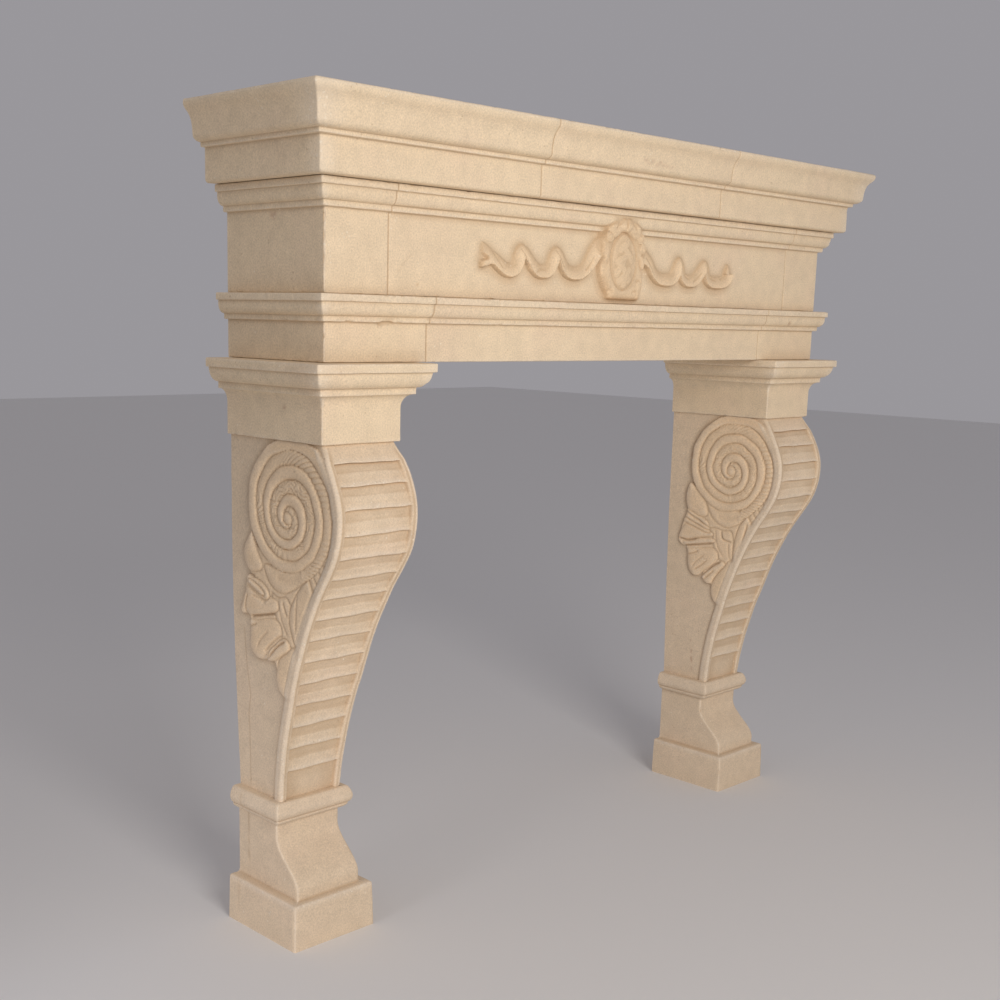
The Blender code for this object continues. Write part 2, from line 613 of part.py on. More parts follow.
def build_legs(collection, cutters, material):
    """Carve one leg's right side, mirror it to the left side, and stand the leg twice."""
    blank = new_object("leg_blank", leg_blank(), cutters)
    blank.hide_render = True
    blank.display_type = "WIRE"
    carving = [volute_disc(), volute_band(), volute_boss()]
    carving += [leaf_lobe(name, proud, outline) for name, (proud, outline) in SIDE_LOBES.items()]
    for mesh in carving:
        add_boolean(blank, mesh, cutters)
    mirror = blank.modifiers.new("both_sides", "MIRROR")
    mirror.use_axis = (True, False, False)
    mirror.use_bisect_axis = (True, False, False)
    mirror.use_bisect_flip_axis = (False, False, False)
    mirror.merge_threshold = MERGE
    mesh = finished_mesh(blank, "leg")
    for side, x in (("left", -LEG_X), ("right", LEG_X)):
        leg = new_object(f"leg_{side}", mesh, collection, material)
        leg.location.x = x


def carve_frieze(frieze, cutters):
    """Add the cartouche and the ribbons to the middle frieze block."""
    carving = [cartouche_plate(), cartouche_rim(),
               ellipsoid("cartouche_field", 0.0, 0.0, OVAL_HEIGHT, OVAL_HALF_WIDTH, OVAL_HALF_HEIGHT, OVAL_DOME_OUT)]
    (lobe_x, lobe_height), (half_width, half_height) = CREST_LOBE
    for side in (-1, 1):
        carving.append(ellipsoid("crest_lobe", side * lobe_x, 0.0, lobe_height, half_width, half_height, CREST_LOBE_OUT))
        carving.append(ellipsoid("scroll_curl", side * CURL_PLACE[0], 0.0, CURL_PLACE[1], CURL_RADIUS, CURL_RADIUS,
                                 CURL_OUT))
        carving.append(ribbon(side))
    for mesh in carving:
        add_boolean(frieze, mesh, cutters)


def main():
    clear_scene()
    mantel = new_collection("fireplace_mantel")
    cutters = new_collection("carving_guides")
    course_stone = limestone("course_limestone", (0.72, 0.60, 0.45), 0.85)
    leg_stone = limestone("leg_limestone", (0.68, 0.56, 0.42), 0.88)
    capital_stone = limestone("capital_limestone", (0.71, 0.59, 0.44), 0.85)
    build_course("cornice", cornice_profile(), CORNICE_FOOT_Z, CORNICE_JOINT_X, mantel, course_stone)
    frieze = build_course("frieze", wall_and_crown_profile(FRIEZE_WALL_HEIGHT), FRIEZE_FOOT_Z, FRIEZE_JOINT_X,
                          mantel, course_stone)
    build_course("architrave", wall_and_crown_profile(ARCHITRAVE_WALL_HEIGHT), ARCHITRAVE_FOOT_Z,
                 ARCHITRAVE_JOINT_X, mantel, course_stone)
    carve_frieze(frieze["middle"], cutters)
    build_capital(mantel, capital_stone)
    build_legs(mantel, cutters, leg_stone)


main()
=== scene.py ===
"""The looks of the limestone fireplace mantel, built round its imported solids.

Metres, +Z up, +X to the right, the back plane towards +Y. Every block gets a finer mesh of the same form: soft
worn arrises, rounded mouldings, and on the legs and the middle frieze block the carving in full relief. Heights of
the carving are worked out by functions of two surface coordinates.
"""

import bmesh
import bpy
import numpy as np
from math import cos, pi, radians, sin
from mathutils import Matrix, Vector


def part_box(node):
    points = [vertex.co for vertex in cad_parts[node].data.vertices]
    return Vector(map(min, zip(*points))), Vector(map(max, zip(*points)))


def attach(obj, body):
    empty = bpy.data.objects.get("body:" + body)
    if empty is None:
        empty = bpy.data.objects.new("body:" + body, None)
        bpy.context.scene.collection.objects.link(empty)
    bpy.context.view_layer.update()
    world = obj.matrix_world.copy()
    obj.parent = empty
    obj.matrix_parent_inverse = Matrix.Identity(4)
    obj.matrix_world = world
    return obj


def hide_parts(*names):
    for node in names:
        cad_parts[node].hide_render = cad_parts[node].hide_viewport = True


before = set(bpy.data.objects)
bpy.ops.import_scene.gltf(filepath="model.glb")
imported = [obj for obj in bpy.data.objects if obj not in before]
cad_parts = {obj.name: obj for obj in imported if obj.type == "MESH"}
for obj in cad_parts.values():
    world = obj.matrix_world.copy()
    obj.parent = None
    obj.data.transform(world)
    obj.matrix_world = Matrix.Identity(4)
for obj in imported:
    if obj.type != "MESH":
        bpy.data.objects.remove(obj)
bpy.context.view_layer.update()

MM = 0.001

# Planes that all blocks share, from the frame
BACK_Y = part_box("frieze_middle")[1].y
LEG_X = (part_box("leg_right")[0].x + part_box("leg_right")[1].x) / 2
WALL_DEPTH = 276.6 * MM
WALL_HALF_WIDTH = 754.1 * MM

# Mouldings, as in the solids: how far each member stands out from the wall, and how high it is
CROWN_FILLET = (8.5 * MM, 10.0 * MM)
CROWN_OVOLO = (20.8 * MM, 16.5 * MM)
CROWN_TOP = (25.6 * MM, 13.0 * MM)
CROWN_HEIGHT = 46.5 * MM
FASCIA = (45.2 * MM, 59.3 * MM)
SHELF_FILLET = (54.2 * MM, 8.0 * MM)
SHELF_OVOLO = (70.0 * MM, 11.5 * MM)
# The shelf's hollow and rounded nose: how far out, and how far below the top
SHELF_SWEEP = ((70.8 * MM, 46.0 * MM), (72.6 * MM, 36.0 * MM), (75.6 * MM, 28.0 * MM), (79.6 * MM, 22.0 * MM),
               (84.0 * MM, 17.6 * MM), (87.2 * MM, 13.4 * MM), (88.5 * MM, 8.6 * MM), (88.5 * MM, 3.6 * MM))
FASCIA_FOOT_ROUND = 6.5 * MM
CAPITAL_BLOCK = 58.0 * MM
CAPITAL_CAVETTO = (16.5 * MM, 25.5 * MM)
CAPITAL_FILLET = (19.2 * MM, 12.0 * MM)
CAPITAL_OVOLO = (39.5 * MM, 26.5 * MM)
CAPITAL_TOP_OUT = 45.6 * MM
CAPITAL_HALF_WIDTH = 89.4 * MM

ARC_STEPS = 9
LINE_STEPS = 5
ARRIS = 2.8 * MM
STRAIGHT_BELOW = 0.45
CAP_MARGIN = 6.0 * MM
SIDE_SPACING = 4.5 * MM
FRONT_SPACING = 3.5 * MM
CARVED_SPACING = 1.9 * MM
JOINT_SOFT = 2.0 * MM
JOINT_REACH = 1.6 * JOINT_SOFT
# Where a front has extra stations beside a joint, and the angles of a rounded corner seen from above
JOINT_STATIONS = (0.5 * JOINT_SOFT, 1.2 * JOINT_SOFT, 2.2 * JOINT_SOFT)
PLAN_ANGLES = (0, 22, 45, 68, 90)
SOFT_WEAR = 0.7 * MM
CHIP_WEAR = 2.6 * MM
BLOCK_SHARP = radians(38)
LEG_SHARP = radians(50)


# Noise


def lattice_random(i, j, k, seed):
    """A repeatable random number from 0 to 1 for each point of an integer lattice."""
    mixed = (i * 374761393 + j * 668265263 + k * 1442695041 + seed * 1274126177) & 0xFFFFFFFF
    mixed = ((mixed ^ (mixed >> 13)) * 1274126177) & 0xFFFFFFFF
    return ((mixed ^ (mixed >> 16)) & 0xFFFF) / 65535.0


def value_noise(points, size, seed):
    """Smooth noise from 0 to 1 with features of the given size at an (n, 3) array of points."""
    scaled = points / size
    cell = np.floor(scaled).astype(np.int64)
    t = scaled - cell
    t = t * t * (3 - 2 * t)
    total = np.zeros(len(points))
    for dx in (0, 1):
        for dy in (0, 1):
            for dz in (0, 1):
                weight = (np.abs(1 - dx - t[:, 0]) * np.abs(1 - dy - t[:, 1]) * np.abs(1 - dz - t[:, 2]))
                total += weight * lattice_random(cell[:, 0] + dx, cell[:, 1] + dy, cell[:, 2] + dz, seed)
    return total


def unit(value):
    return np.clip(value, 0.0, 1.0)


def smooth_step(low, high, value):
    t = unit((value - low) / (high - low))
    return t * t * (3 - 2 * t)


def bell(distance, width):
    return np.exp(-(distance / width) ** 2)


def dome(share, height):
    """A half ellipse: full height where share is 0, nothing from 1 on."""
    return height * np.sqrt(unit(1 - share ** 2))


# Shapes in two coordinates


def segment_distance(a, b, pa, pb):
    """Distance of the points (a, b) from the segment pa to pb, and how far along it each lies, 0 to 1."""
    da, db = pb[0] - pa[0], pb[1] - pa[1]
    along = unit(((a - pa[0]) * da + (b - pa[1]) * db) / (da * da + db * db))
    return np.hypot(a - pa[0] - along * da, b - pa[1] - along * db), along


def line_distance(a, b, line):
    """Distance of the points (a, b) from a polyline, the nearest segment's number, and how far along it, 0 to 1."""
    best = np.full(a.shape, 1e9)
    nearest = np.zeros(a.shape, int)
    place = np.zeros(a.shape)
    for index, (start, end) in enumerate(zip(line, line[1:])):
        distance, along = segment_distance(a, b, start, end)
        nearer = distance < best
        best[nearer], nearest[nearer], place[nearer] = distance[nearer], index, along[nearer]
    return best, nearest, place


def smooth_line(numbers, closed=False):
    """A Catmull-Rom curve through points, whose two coordinates are given by turns."""
    points = list(zip(numbers[::2], numbers[1::2]))
    count = len(points)
    curve = []
    for i in range(count if closed else count - 1):
        four = [points[k % count if closed else min(max(k, 0), count - 1)] for k in range(i - 1, i + 3)]
        for step in range(LINE_STEPS):
            t = step / LINE_STEPS
            curve.append(tuple(0.5 * (2 * q + (r - p) * t + (2 * p - 5 * q + 4 * r - s) * t * t
                                      + (3 * q - p - 3 * r + s) * t ** 3) for p, q, r, s in zip(*four)))
    return curve if closed else curve + points[-1:]


def inside_depth(a, b, outline):
    """How deep the points (a, b) lie inside a closed outline; negative outside it."""
    ring = smooth_line(outline, closed=True)
    distance = line_distance(a, b, ring + ring[:1])[0]
    inside = np.zeros(a.shape, bool)
    for (a0, b0), (a1, b1) in zip(ring, ring[1:] + ring[:1]):
        crosses = (b0 > b) != (b1 > b)
        slope = (a1 - a0) / (b1 - b0) if b1 != b0 else 0.0
        inside ^= crosses & (a < a0 + slope * (b - b0))
    return np.where(inside, distance, -distance)


def pillow(depth, height, softness):
    """A rounded lobe: it rises steeply from its edge and is level further in."""
    return dome(1 - unit(depth / softness), height) * (depth > 0)


def crease(a, b, line, depth, width):
    """A cut along a line that fades at both its ends."""
    curve = smooth_line(line)
    distance, nearest, place = line_distance(a, b, curve)
    share = (nearest + place) / (len(curve) - 1)
    return depth * unit(np.minimum(share, 1 - share) * 6 + 0.25) * bell(distance, width)


# Meshes


def grid_faces(rows, columns, offset=0):
    """Quads of a grid whose vertices are stored row by row."""
    i = np.arange(rows - 1)[:, None] * columns + np.arange(columns - 1)[None, :] + offset
    return np.stack([i, i + 1, i + columns + 1, i + columns], axis=-1).reshape(-1, 4).tolist()


def bridge(ring_a, ring_b, share_a, share_b):
    """Triangles between two rows of vertices with different counts, matched by their share of the way round."""
    faces = []
    i = j = 0
    while i < len(ring_a) - 1 or j < len(ring_b) - 1:
        next_a = share_a[i + 1] if i < len(ring_a) - 1 else 2.0
        next_b = share_b[j + 1] if j < len(ring_b) - 1 else 2.0
        if next_a <= next_b:
            faces.append((ring_a[i], ring_a[i + 1], ring_b[j]))
            i += 1
        else:
            faces.append((ring_a[i], ring_b[j + 1], ring_b[j]))
            j += 1
    return faces


# Small marks seen on single blocks: kind, strength, width, the axis they lie flat against, and the x, y and z of each
# point of their line, all in millimetres. A cut is worked into the stone, a vein is only dark, rust only reddish.
X_AXIS, Y_AXIS = 0, 1
MARKS = {
    "architrave_left": (
        ("cut", 3.5, 5.0, Y_AXIS, (-631, -103, 1149, -623, -103, 1152, -612, -103, 1153)),
        ("cut", 2.0, 2.6, Y_AXIS, (-630, -94, 1149, -634, -94, 1146)),
        ("vein", 0.7, 1.8, Y_AXIS, (-530, -100, 1152, -527, -104, 1160, -523, -110, 1168))),
    "frieze_middle": (
        ("cut", 1.6, 3.2, Y_AXIS, (-545, -94, 1217, -544, -94, 1217)),
        ("vein", 0.5, 2.6, Y_AXIS, (-545, -94, 1217, -544, -94, 1217)),
        ("vein", 0.35, 2.4, Y_AXIS, (-592, -94, 1238, -570, -94, 1262, -560, -94, 1268))),
    "cornice_middle": (
        ("rust", 0.3, 3.4, Y_AXIS, (-14, -169, 1476, 0, -169, 1470, 14, -169, 1474)),
        ("rust", 0.32, 3.2, Y_AXIS, (22, -169, 1466, 38, -169, 1474, 48, -169, 1466)),
        ("rust", 0.28, 3.0, Y_AXIS, (52, -169, 1472, 68, -169, 1464, 76, -169, 1468))),
    "cornice_left": (
        ("vein", 0.22, 3.0, X_AXIS, (-800, -24, 1446, -800, -30, 1416, -800, -27, 1389)),),
    "capital_left": (
        ("rust", 0.55, 3.2, X_AXIS, (-757, 10, 1003, -757, 12, 1003)),),
    "frieze_left": (
        ("rust", 0.42, 4.5, X_AXIS, (-754, 52, 1329, -754, 44, 1324, -754, 42, 1331)),),
    "architrave_right": (
        ("cut", 2.2, 4.5, Y_AXIS, (621, -115, 1168, 624, -115, 1166)),
        ("rust", 0.4, 4.0, Y_AXIS, (621, -115, 1168, 624, -115, 1166))),
    "leg_right": (
        ("rust", 0.4, 2.8, X_AXIS, (594, 100, 368, 594, 100, 366)),
        ("rust", 0.5, 3.0, X_AXIS, (594, 97, 341, 594, 98, 337)),
        ("rust", 0.55, 3.4, X_AXIS, (594, 98, 322, 594, 96, 312)),
        ("rust", 0.34, 3.0, X_AXIS, (594, 95, 296, 594, 95, 290)),
        ("rust", 0.26, 5.0, X_AXIS, (586, 120, 842, 586, 121, 838))),
    "leg_left": (
        ("vein", 0.95, 1.7, X_AXIS, (-745, 150, 585, -744, 146, 522, -742, 137, 456, -740, 145, 420, -739, 145, 375,
            -736, 148, 277)),
        ("vein", 0.95, 2.2, X_AXIS, (-760, 148, 262, -760, 150, 240, -739, 150, 214, -739, 150, 100)),
        ("vein", 0.8, 2.4, X_AXIS, (-763, 152, 84, -764, 155, 2))),
}
AXIS_SHARE = 0.15
# How much darker a cut is painted: painted shade inside the notch
CUT_SHADE = 0.22


def mark_share(points, line, flat_axis, width):
    """1 on a mark's line and 0 away from it, for an array of points in metres."""
    scale = np.ones(3)
    scale[flat_axis] = AXIS_SHARE
    line = np.reshape(line, (-1, 3)) * MM * scale
    places = points * scale
    best = np.full(len(points), 1e9)
    for start, end in zip(line, line[1:]):
        step = end - start
        along = unit((places - start) @ step / (step @ step))
        best = np.minimum(best, np.linalg.norm(places - start - along[:, None] * step, axis=1))
    return bell(best, width * MM)


def marks_of(node, kind, points):
    """The marks of one kind on one block, added up at each point."""
    total = np.zeros(len(points))
    for mark_kind, strength, width, flat_axis, line in MARKS.get(node, ()):
        if mark_kind == kind:
            total += strength * mark_share(points, line, flat_axis, width)
    return total


# Hollows of the carving get painted shade with dust and its crests a painted highlight, from its own relief
# How carving is toned: grid steps and weight of each look around, and the height that counts as full
FRIEZE_REACHES = ((3, 0.70), (9, 0.60))
FRIEZE_HIGHLIGHT_CAP = 0.25
FRIEZE_OCHRE = 0.8
LEG_REACHES = ((2, 0.46), (6, 0.50))
FULL_RELIEF = 1.6 * MM


def add_object(name, data):
    obj = bpy.data.objects.new(name, data)
    bpy.context.scene.collection.objects.link(obj)
    return obj


def piece(node, vertices, faces, cavity, sharp_angle, material, ochre):
    """A closed mesh piece that stands for a CAD node.

    cavity is below 0 in hollows and above 0 on edges; ochre is 1 where carving has the warmer patina.
    """
    places = np.array(vertices, dtype=float)
    cavity = cavity - marks_of(node, "vein", places) - CUT_SHADE * marks_of(node, "cut", places)
    mesh = bpy.data.meshes.new(f"{node}_stone")
    mesh.from_pydata(places.tolist(), [], faces)
    edited = bmesh.new()
    edited.from_mesh(mesh)
    bmesh.ops.recalc_face_normals(edited, faces=edited.faces)
    edited.to_mesh(mesh)
    edited.free()
    for layer_name, values in (("cavity", cavity), ("ochre", ochre), ("rust", marks_of(node, "rust", places))):
        layer = mesh.attributes.new(layer_name, "FLOAT", "POINT")
        layer.data.foreach_set("value", np.asarray(values, dtype=np.float32))
    mesh.shade_smooth()
    mesh.set_sharp_from_angle(angle=sharp_angle)
    mesh.materials.append(material)
    obj = add_object(mesh.name, mesh)
    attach(obj, "root")
    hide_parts(node)


# Profiles


def quarter(start, end, convex):
    """Quarter of an ellipse in (out, height), with its two ends."""
    points = []
    for step in range(1, ARC_STEPS):
        angle = pi / 2 * step / ARC_STEPS
        level, upright = (sin(angle), 1 - cos(angle)) if convex else (1 - cos(angle), sin(angle))
        points.append((start[0] + (end[0] - start[0]) * level, start[1] + (end[1] - start[1]) * upright))
    return [start, *points, end]


def crown_keys(foot):
    low = foot + CROWN_FILLET[1]
    top_foot = foot + CROWN_HEIGHT - CROWN_TOP[1]
    ovolo_start = (CROWN_FILLET[0], low)
    ovolo_end = (CROWN_OVOLO[0], low + CROWN_OVOLO[1])
    return [(0.0, foot), (CROWN_FILLET[0], foot), *quarter(ovolo_start, ovolo_end, True),
            (CROWN_OVOLO[0], top_foot), (CROWN_TOP[0], top_foot), (CROWN_TOP[0], foot + CROWN_HEIGHT)]


def cornice_keys():
    fillet_foot = FASCIA[1]
    ovolo_start = (SHELF_FILLET[0], fillet_foot + SHELF_FILLET[1])
    ovolo_end = (SHELF_OVOLO[0], ovolo_start[1] + SHELF_OVOLO[1])
    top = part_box("cornice_middle")[1].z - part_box("cornice_middle")[0].z
    sweep = [(out, top - below) for out, below in SHELF_SWEEP]
    foot = [(FASCIA[0] - FASCIA_FOOT_ROUND * (1 - sin(a)), FASCIA_FOOT_ROUND * (1 - cos(a)))
            for a in (radians(15), radians(35), radians(55), radians(75))]
    return [*foot, (FASCIA[0], FASCIA_FOOT_ROUND), (FASCIA[0], fillet_foot), (SHELF_FILLET[0], fillet_foot),
            *quarter(ovolo_start, ovolo_end, True), *sweep, (sweep[-1][0] - 3.0 * MM, top)]


def capital_keys():
    cavetto_start = (0.0, CAPITAL_BLOCK)
    cavetto_end = (CAPITAL_CAVETTO[0], CAPITAL_BLOCK + CAPITAL_CAVETTO[1])
    ovolo_start = (CAPITAL_FILLET[0], cavetto_end[1] + CAPITAL_FILLET[1])
    ovolo_end = (CAPITAL_OVOLO[0], ovolo_start[1] + CAPITAL_OVOLO[1])
    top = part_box("capital_left")[1].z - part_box("capital_left")[0].z
    return [(0.0, 0.0), *quarter(cavetto_start, cavetto_end, False),
            (CAPITAL_FILLET[0], cavetto_end[1]), *quarter(ovolo_start, ovolo_end, True),
            (CAPITAL_TOP_OUT, ovolo_end[1]), (CAPITAL_TOP_OUT, top)]


def fine_profile(keys, spacing):
    """Round every sharp corner of a profile and divide its long stretches.

    Returns the points (out, height) and for each an edge value: 1 on an outer corner, -1 in an inner one.
    """
    keys = [(keys[0][0] - CAP_MARGIN, keys[0][1]), *keys, (keys[-1][0] - CAP_MARGIN, keys[-1][1])]
    rounded = [(*keys[0], 0.0)]
    for before, corner, after in zip(keys, keys[1:], keys[2:]):
        into, out = np.subtract(corner, before), np.subtract(after, corner)
        turn = into[0] * out[1] - into[1] * out[0]
        lengths = np.hypot(*into), np.hypot(*out)
        if abs(turn) < STRAIGHT_BELOW * lengths[0] * lengths[1]:
            rounded.append((*corner, 0.0))
            continue
        sign, share = (1, 1.0) if turn > 0 else (-1, 0.5)
        reach = min(ARRIS, 0.42 * lengths[0], 0.42 * lengths[1]) * share
        start, end = corner - into / lengths[0] * reach, corner + out / lengths[1] * reach
        for t, edge in ((0.0, 0.5), (0.33, 1.0), (0.67, 1.0), (1.0, 0.5)):
            place = start * (1 - t) ** 2 + 2 * np.array(corner) * t * (1 - t) + end * t * t
            rounded.append((*place, edge * sign))
    rounded.append((*keys[-1], 0.0))
    fine = [rounded[0]]
    for p, q in zip(rounded, rounded[1:]):
        parts = max(1, int(np.hypot(q[0] - p[0], q[1] - p[1]) / spacing))
        for part in range(1, parts + 1):
            t = part / parts
            fine.append((p[0] + (q[0] - p[0]) * t, p[1] + (q[1] - p[1]) * t, q[2] if part == parts else 0.0))
    fine = np.array(fine)
    return fine[:, :2], fine[:, 2]


def profile_normals(points):
    """Outward unit normals of a profile that runs upward."""
    tangent = np.gradient(points, axis=0)
    normal = np.stack([tangent[:, 1], -tangent[:, 0]], axis=1)
    return normal / np.maximum(np.linalg.norm(normal, axis=1, keepdims=True), 1e-9)


def spread(start, end, spacing, ends=()):
    """Numbers from start to end about spacing apart, with extra ones the given distances from both ends."""
    count = max(2, int(abs(end - start) / spacing) + 1)
    numbers = set(np.linspace(start, end, count).tolist())
    direction = 1 if end > start else -1
    for distance in ends:
        numbers |= {start + direction * distance, end - direction * distance}
    return sorted(numbers, reverse=end < start)


def plan_path(left, right, spacing):
    """The way of a moulding round a block, seen from above: base points, outward directions, inset and edge value.

    The base is the wall line. Each end is given as its x and whether it returns there: then it runs to the back
    plane. Otherwise it ends at a joint, where the block's arris is softened.
    """
    front = BACK_Y - WALL_DEPTH

    def side(x, out, start, end):
        return [(x, y, out, 0.0, 0.0, 0.0) for y in spread(start, end, SIDE_SPACING)]

    def corner(x, out):
        return [(x - out * ARRIS * (1 - cos(a)), front + ARRIS * (1 - sin(a)), out, -1.0, 0.0, 1.0)
                for a in np.radians(PLAN_ANGLES)]

    path = side(left[0], -1.0, BACK_Y, front + ARRIS) + corner(left[0], -1.0) if left[1] else []
    stations = () if left[1] and right[1] else JOINT_STATIONS
    for x in spread(left[0] + ARRIS * left[1], right[0] - ARRIS * right[1], spacing, stations):
        gaps = [gap for gap, returns in ((x - left[0], left[1]), (right[0] - x, right[1])) if not returns]
        inset = max([JOINT_SOFT * max(0.0, 1 - gap / JOINT_REACH) ** 2 for gap in gaps], default=0.0)
        path.append((x, front, 0.0, -1.0, inset, -1.0 if inset > 0.4 * JOINT_SOFT else 0.5 * (inset > 0)))
    if right[1]:
        path += corner(right[0], 1.0)[::-1] + side(right[0], 1.0, front + ARRIS, BACK_Y)
    return np.array(path)


# Blocks


def wear(points, edge, seed):
    """How far the stone is worn back at each point: gently everywhere, and chipped along outer edges."""
    level = 0.35 * MM * value_noise(points, 55 * MM, seed) + 0.2 * MM * value_noise(points, 17 * MM, seed + 1)
    soft = SOFT_WEAR * value_noise(points, 23 * MM, seed + 2)
    broken = smooth_step(0.68, 0.86, value_noise(points, 9 * MM, seed + 3))
    rare = smooth_step(0.50, 0.75, value_noise(points, 90 * MM, seed + 4))
    return level + unit(edge) * (soft + CHIP_WEAR * broken * (0.35 + rare))


def block(node, keys, left, right, seed, material, relief=None):
    """A moulded block of a course between two ends. relief(x, height) gives how far carving stands out."""
    low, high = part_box(node)
    profile, profile_edge = fine_profile(keys, CARVED_SPACING if relief else SIDE_SPACING)
    profile[:, 1] *= (high.z - low.z) / keys[-1][1]
    normals = profile_normals(profile)
    path = plan_path(left, right, CARVED_SPACING if relief else FRONT_SPACING)
    stations, levels = len(path), len(profile)
    within = np.ones(levels)
    within[[0, -1]] = 0.0
    base_x, base_y, way_x, way_y, inset, plan_edge = np.repeat(path, levels, axis=0).T
    out, height, normal_out, normal_up, edge, facing, inner = np.tile(np.stack(
        [*profile.T, *normals.T, profile_edge, normals[:, 0] > 0.5, within]), stations)
    edge = np.where((edge < 0) | (plan_edge < 0), np.minimum(edge, plan_edge), np.maximum(edge, plan_edge * facing))
    carved = np.zeros(len(out))
    if relief:
        stand = relief(base_x, height)
        carved = np.maximum(stand - np.maximum(out, 0.0), 0.0) * (stand > 0.0) * (normal_out > 0.05)
    reach = out + carved - inset
    points = np.stack([base_x + way_x * reach, base_y + way_y * reach, low.z + height], axis=1)
    worn = wear(points, edge, seed) + marks_of(node, "cut", points) * MM
    exposed = points[:, 1] < BACK_Y - 0.1 * MM
    worn = worn * inner * np.where(exposed, 1.0, 0.3)
    points -= np.stack([way_x * normal_out * worn, way_y * normal_out * worn, normal_up * worn], axis=1)
    # Inner corners painted darker as shade with dust, joints dark, outer arrises lighter as painted highlight and wear
    cavity = edge
    ochre = FRIEZE_OCHRE * smooth_step(0.0, 3.0 * MM, carved)
    if relief:
        # Painted shade in the carving's hollows and low ribbon parts, painted highlight on its crests up to a cap
        shape = (out + carved).reshape(stations, levels)
        hollows = np.minimum(painted_relief_shade(shape, FRIEZE_REACHES), FRIEZE_HIGHLIGHT_CAP).ravel()
        cavity = edge * (carved < 0.5 * MM) + hollows + np.interp(carved / MM, *zip(*CARVING_SHADE))
    vertices, faces = close_block(points, stations, levels, left, right, low.z, high.z)
    flat = np.zeros(len(vertices) - len(points))
    cavity, ochre = np.concatenate([cavity * exposed, flat]), np.concatenate([ochre, flat])
    piece(node, vertices, faces, cavity, BLOCK_SHARP, material, ochre)


def close_block(points, stations, levels, left, right, bottom, top):
    """Add the top, bottom, back and joint faces to a block's moulded surface."""
    vertices = points.tolist()
    faces = grid_faces(stations, levels)
    ends = [list(range(levels)), [(stations - 1) * levels + k for k in range(levels)]]
    low_chain = [s * levels for s in range(stations)]
    high_chain = [s * levels + levels - 1 for s in range(stations)]
    for index, (x, returns) in enumerate((left, right)):
        if returns:
            continue
        low_back = len(vertices)
        vertices += [[x, BACK_Y, bottom], [x, BACK_Y, top]]
        faces.append([low_back, *ends[index], low_back + 1])
        ends[index] = [low_back, low_back + 1]
        for chain, corner in ((low_chain, low_back), (high_chain, low_back + 1)):
            chain.insert(index * len(chain), corner)
    faces += [low_chain, high_chain, ends[0] + ends[1][::-1]]
    return vertices, faces


def painted_relief_shade(heights, reaches):
    """Painted shade in hollows and painted highlight on crests, from a height grid, by the reach and weight of each
    look around.
    """
    return sum(weight * local_relief(heights, reach) for reach, weight in reaches)


def local_relief(heights, reach):
    """How far each point of a height grid stands over its surroundings, from -1 to 1."""
    blurred = heights.copy()
    for axis in (0, 1):
        total = np.zeros_like(blurred)
        for shift in range(-reach, reach + 1):
            index = np.clip(np.arange(blurred.shape[axis]) + shift, 0, blurred.shape[axis] - 1)
            total += np.take(blurred, index, axis=axis)
        blurred = total / (2 * reach + 1)
    return np.clip((heights - blurred) / FULL_RELIEF, -1.0, 1.0)


# The frieze's carving

# Painted shade by how far it stands out, in millimetres: darkest low on the ribbons, palest along their free edge
CARVING_SHADE = ((0.0, 0.0), (1.2, -1.00), (5.0, -1.10), (8.5, -0.50), (10.5, -0.25), (14.0, -0.70), (18.0, -0.70))
# The cartouche, in millimetres: x and height above the frieze's foot by turns
CARTOUCHE_EDGE = (-24, 8, -38, 19, -51, 36, -63, 60, -64, 84, -70, 104, -66, 122, -62, 138, -52, 152, -36, 164, -18,
    171, 0, 172, 18, 171, 36, 164, 52, 152, 62, 138, 67, 122, 71, 104, 67, 84, 70, 62, 68, 40, 64, 20, 58, 8)
PLATE_OUT = 18.0
OVAL = (0.0, 84.0, 41.5, 57.0)
FIELD_OUT = 15.5
CARTOUCHE_LOBES = ((25.5, (0, 156, 34, 20)), (24.0, (-30, 146, 26, 22)), (24.0, (31, 146, 26, 22)),
                   (21.5, (-56, 98, 11, 24)), (22.5, (58, 112, 12, 15)), (21.5, (59, 84, 11, 17)),
                   (19.5, (-46, 42, 15, 24)), (19.5, (52, 42, 16, 24)))
CURL = (49.0, 131.0, 12.0)
CURL_OUT = 25.5
CARTOUCHE_FOLDS = (
    (4.0, 2.4, (1, 144, 0, 160, 2, 178)),
    (2.2, 2.6, (-34, 146, -20, 160, -10, 172)),
    (2.2, 2.6, (34, 146, 20, 160, 12, 172)),
    (2.6, 2.6, (-66, 36, -54, 48, -40, 46)),
    (2.6, 2.6, (66, 36, 54, 48, 42, 46)),
    (2.4, 2.4, (-68, 86, -58, 100, -55, 114)),
    (2.4, 2.4, (68, 86, 58, 100, 55, 114)),
    (2.4, 2.6, (-46, 12, -40, 26, -28, 22)),
    (2.4, 2.6, (50, 12, 42, 26, 30, 22)),
    (2.4, 2.6, (-58, 66, -50, 76, -47, 92)),
    (2.4, 2.6, (60, 66, 52, 76, 48, 92)),
)
LEAF_STEMS = ((-16, 44, 12, 66), (14, 48, -10, 74), (-22, 82, 4, 96), (20, 88, -4, 110), (0, 38, 0, 64),
              (-14, 108, 8, 122), (-24, 60, -6, 84))

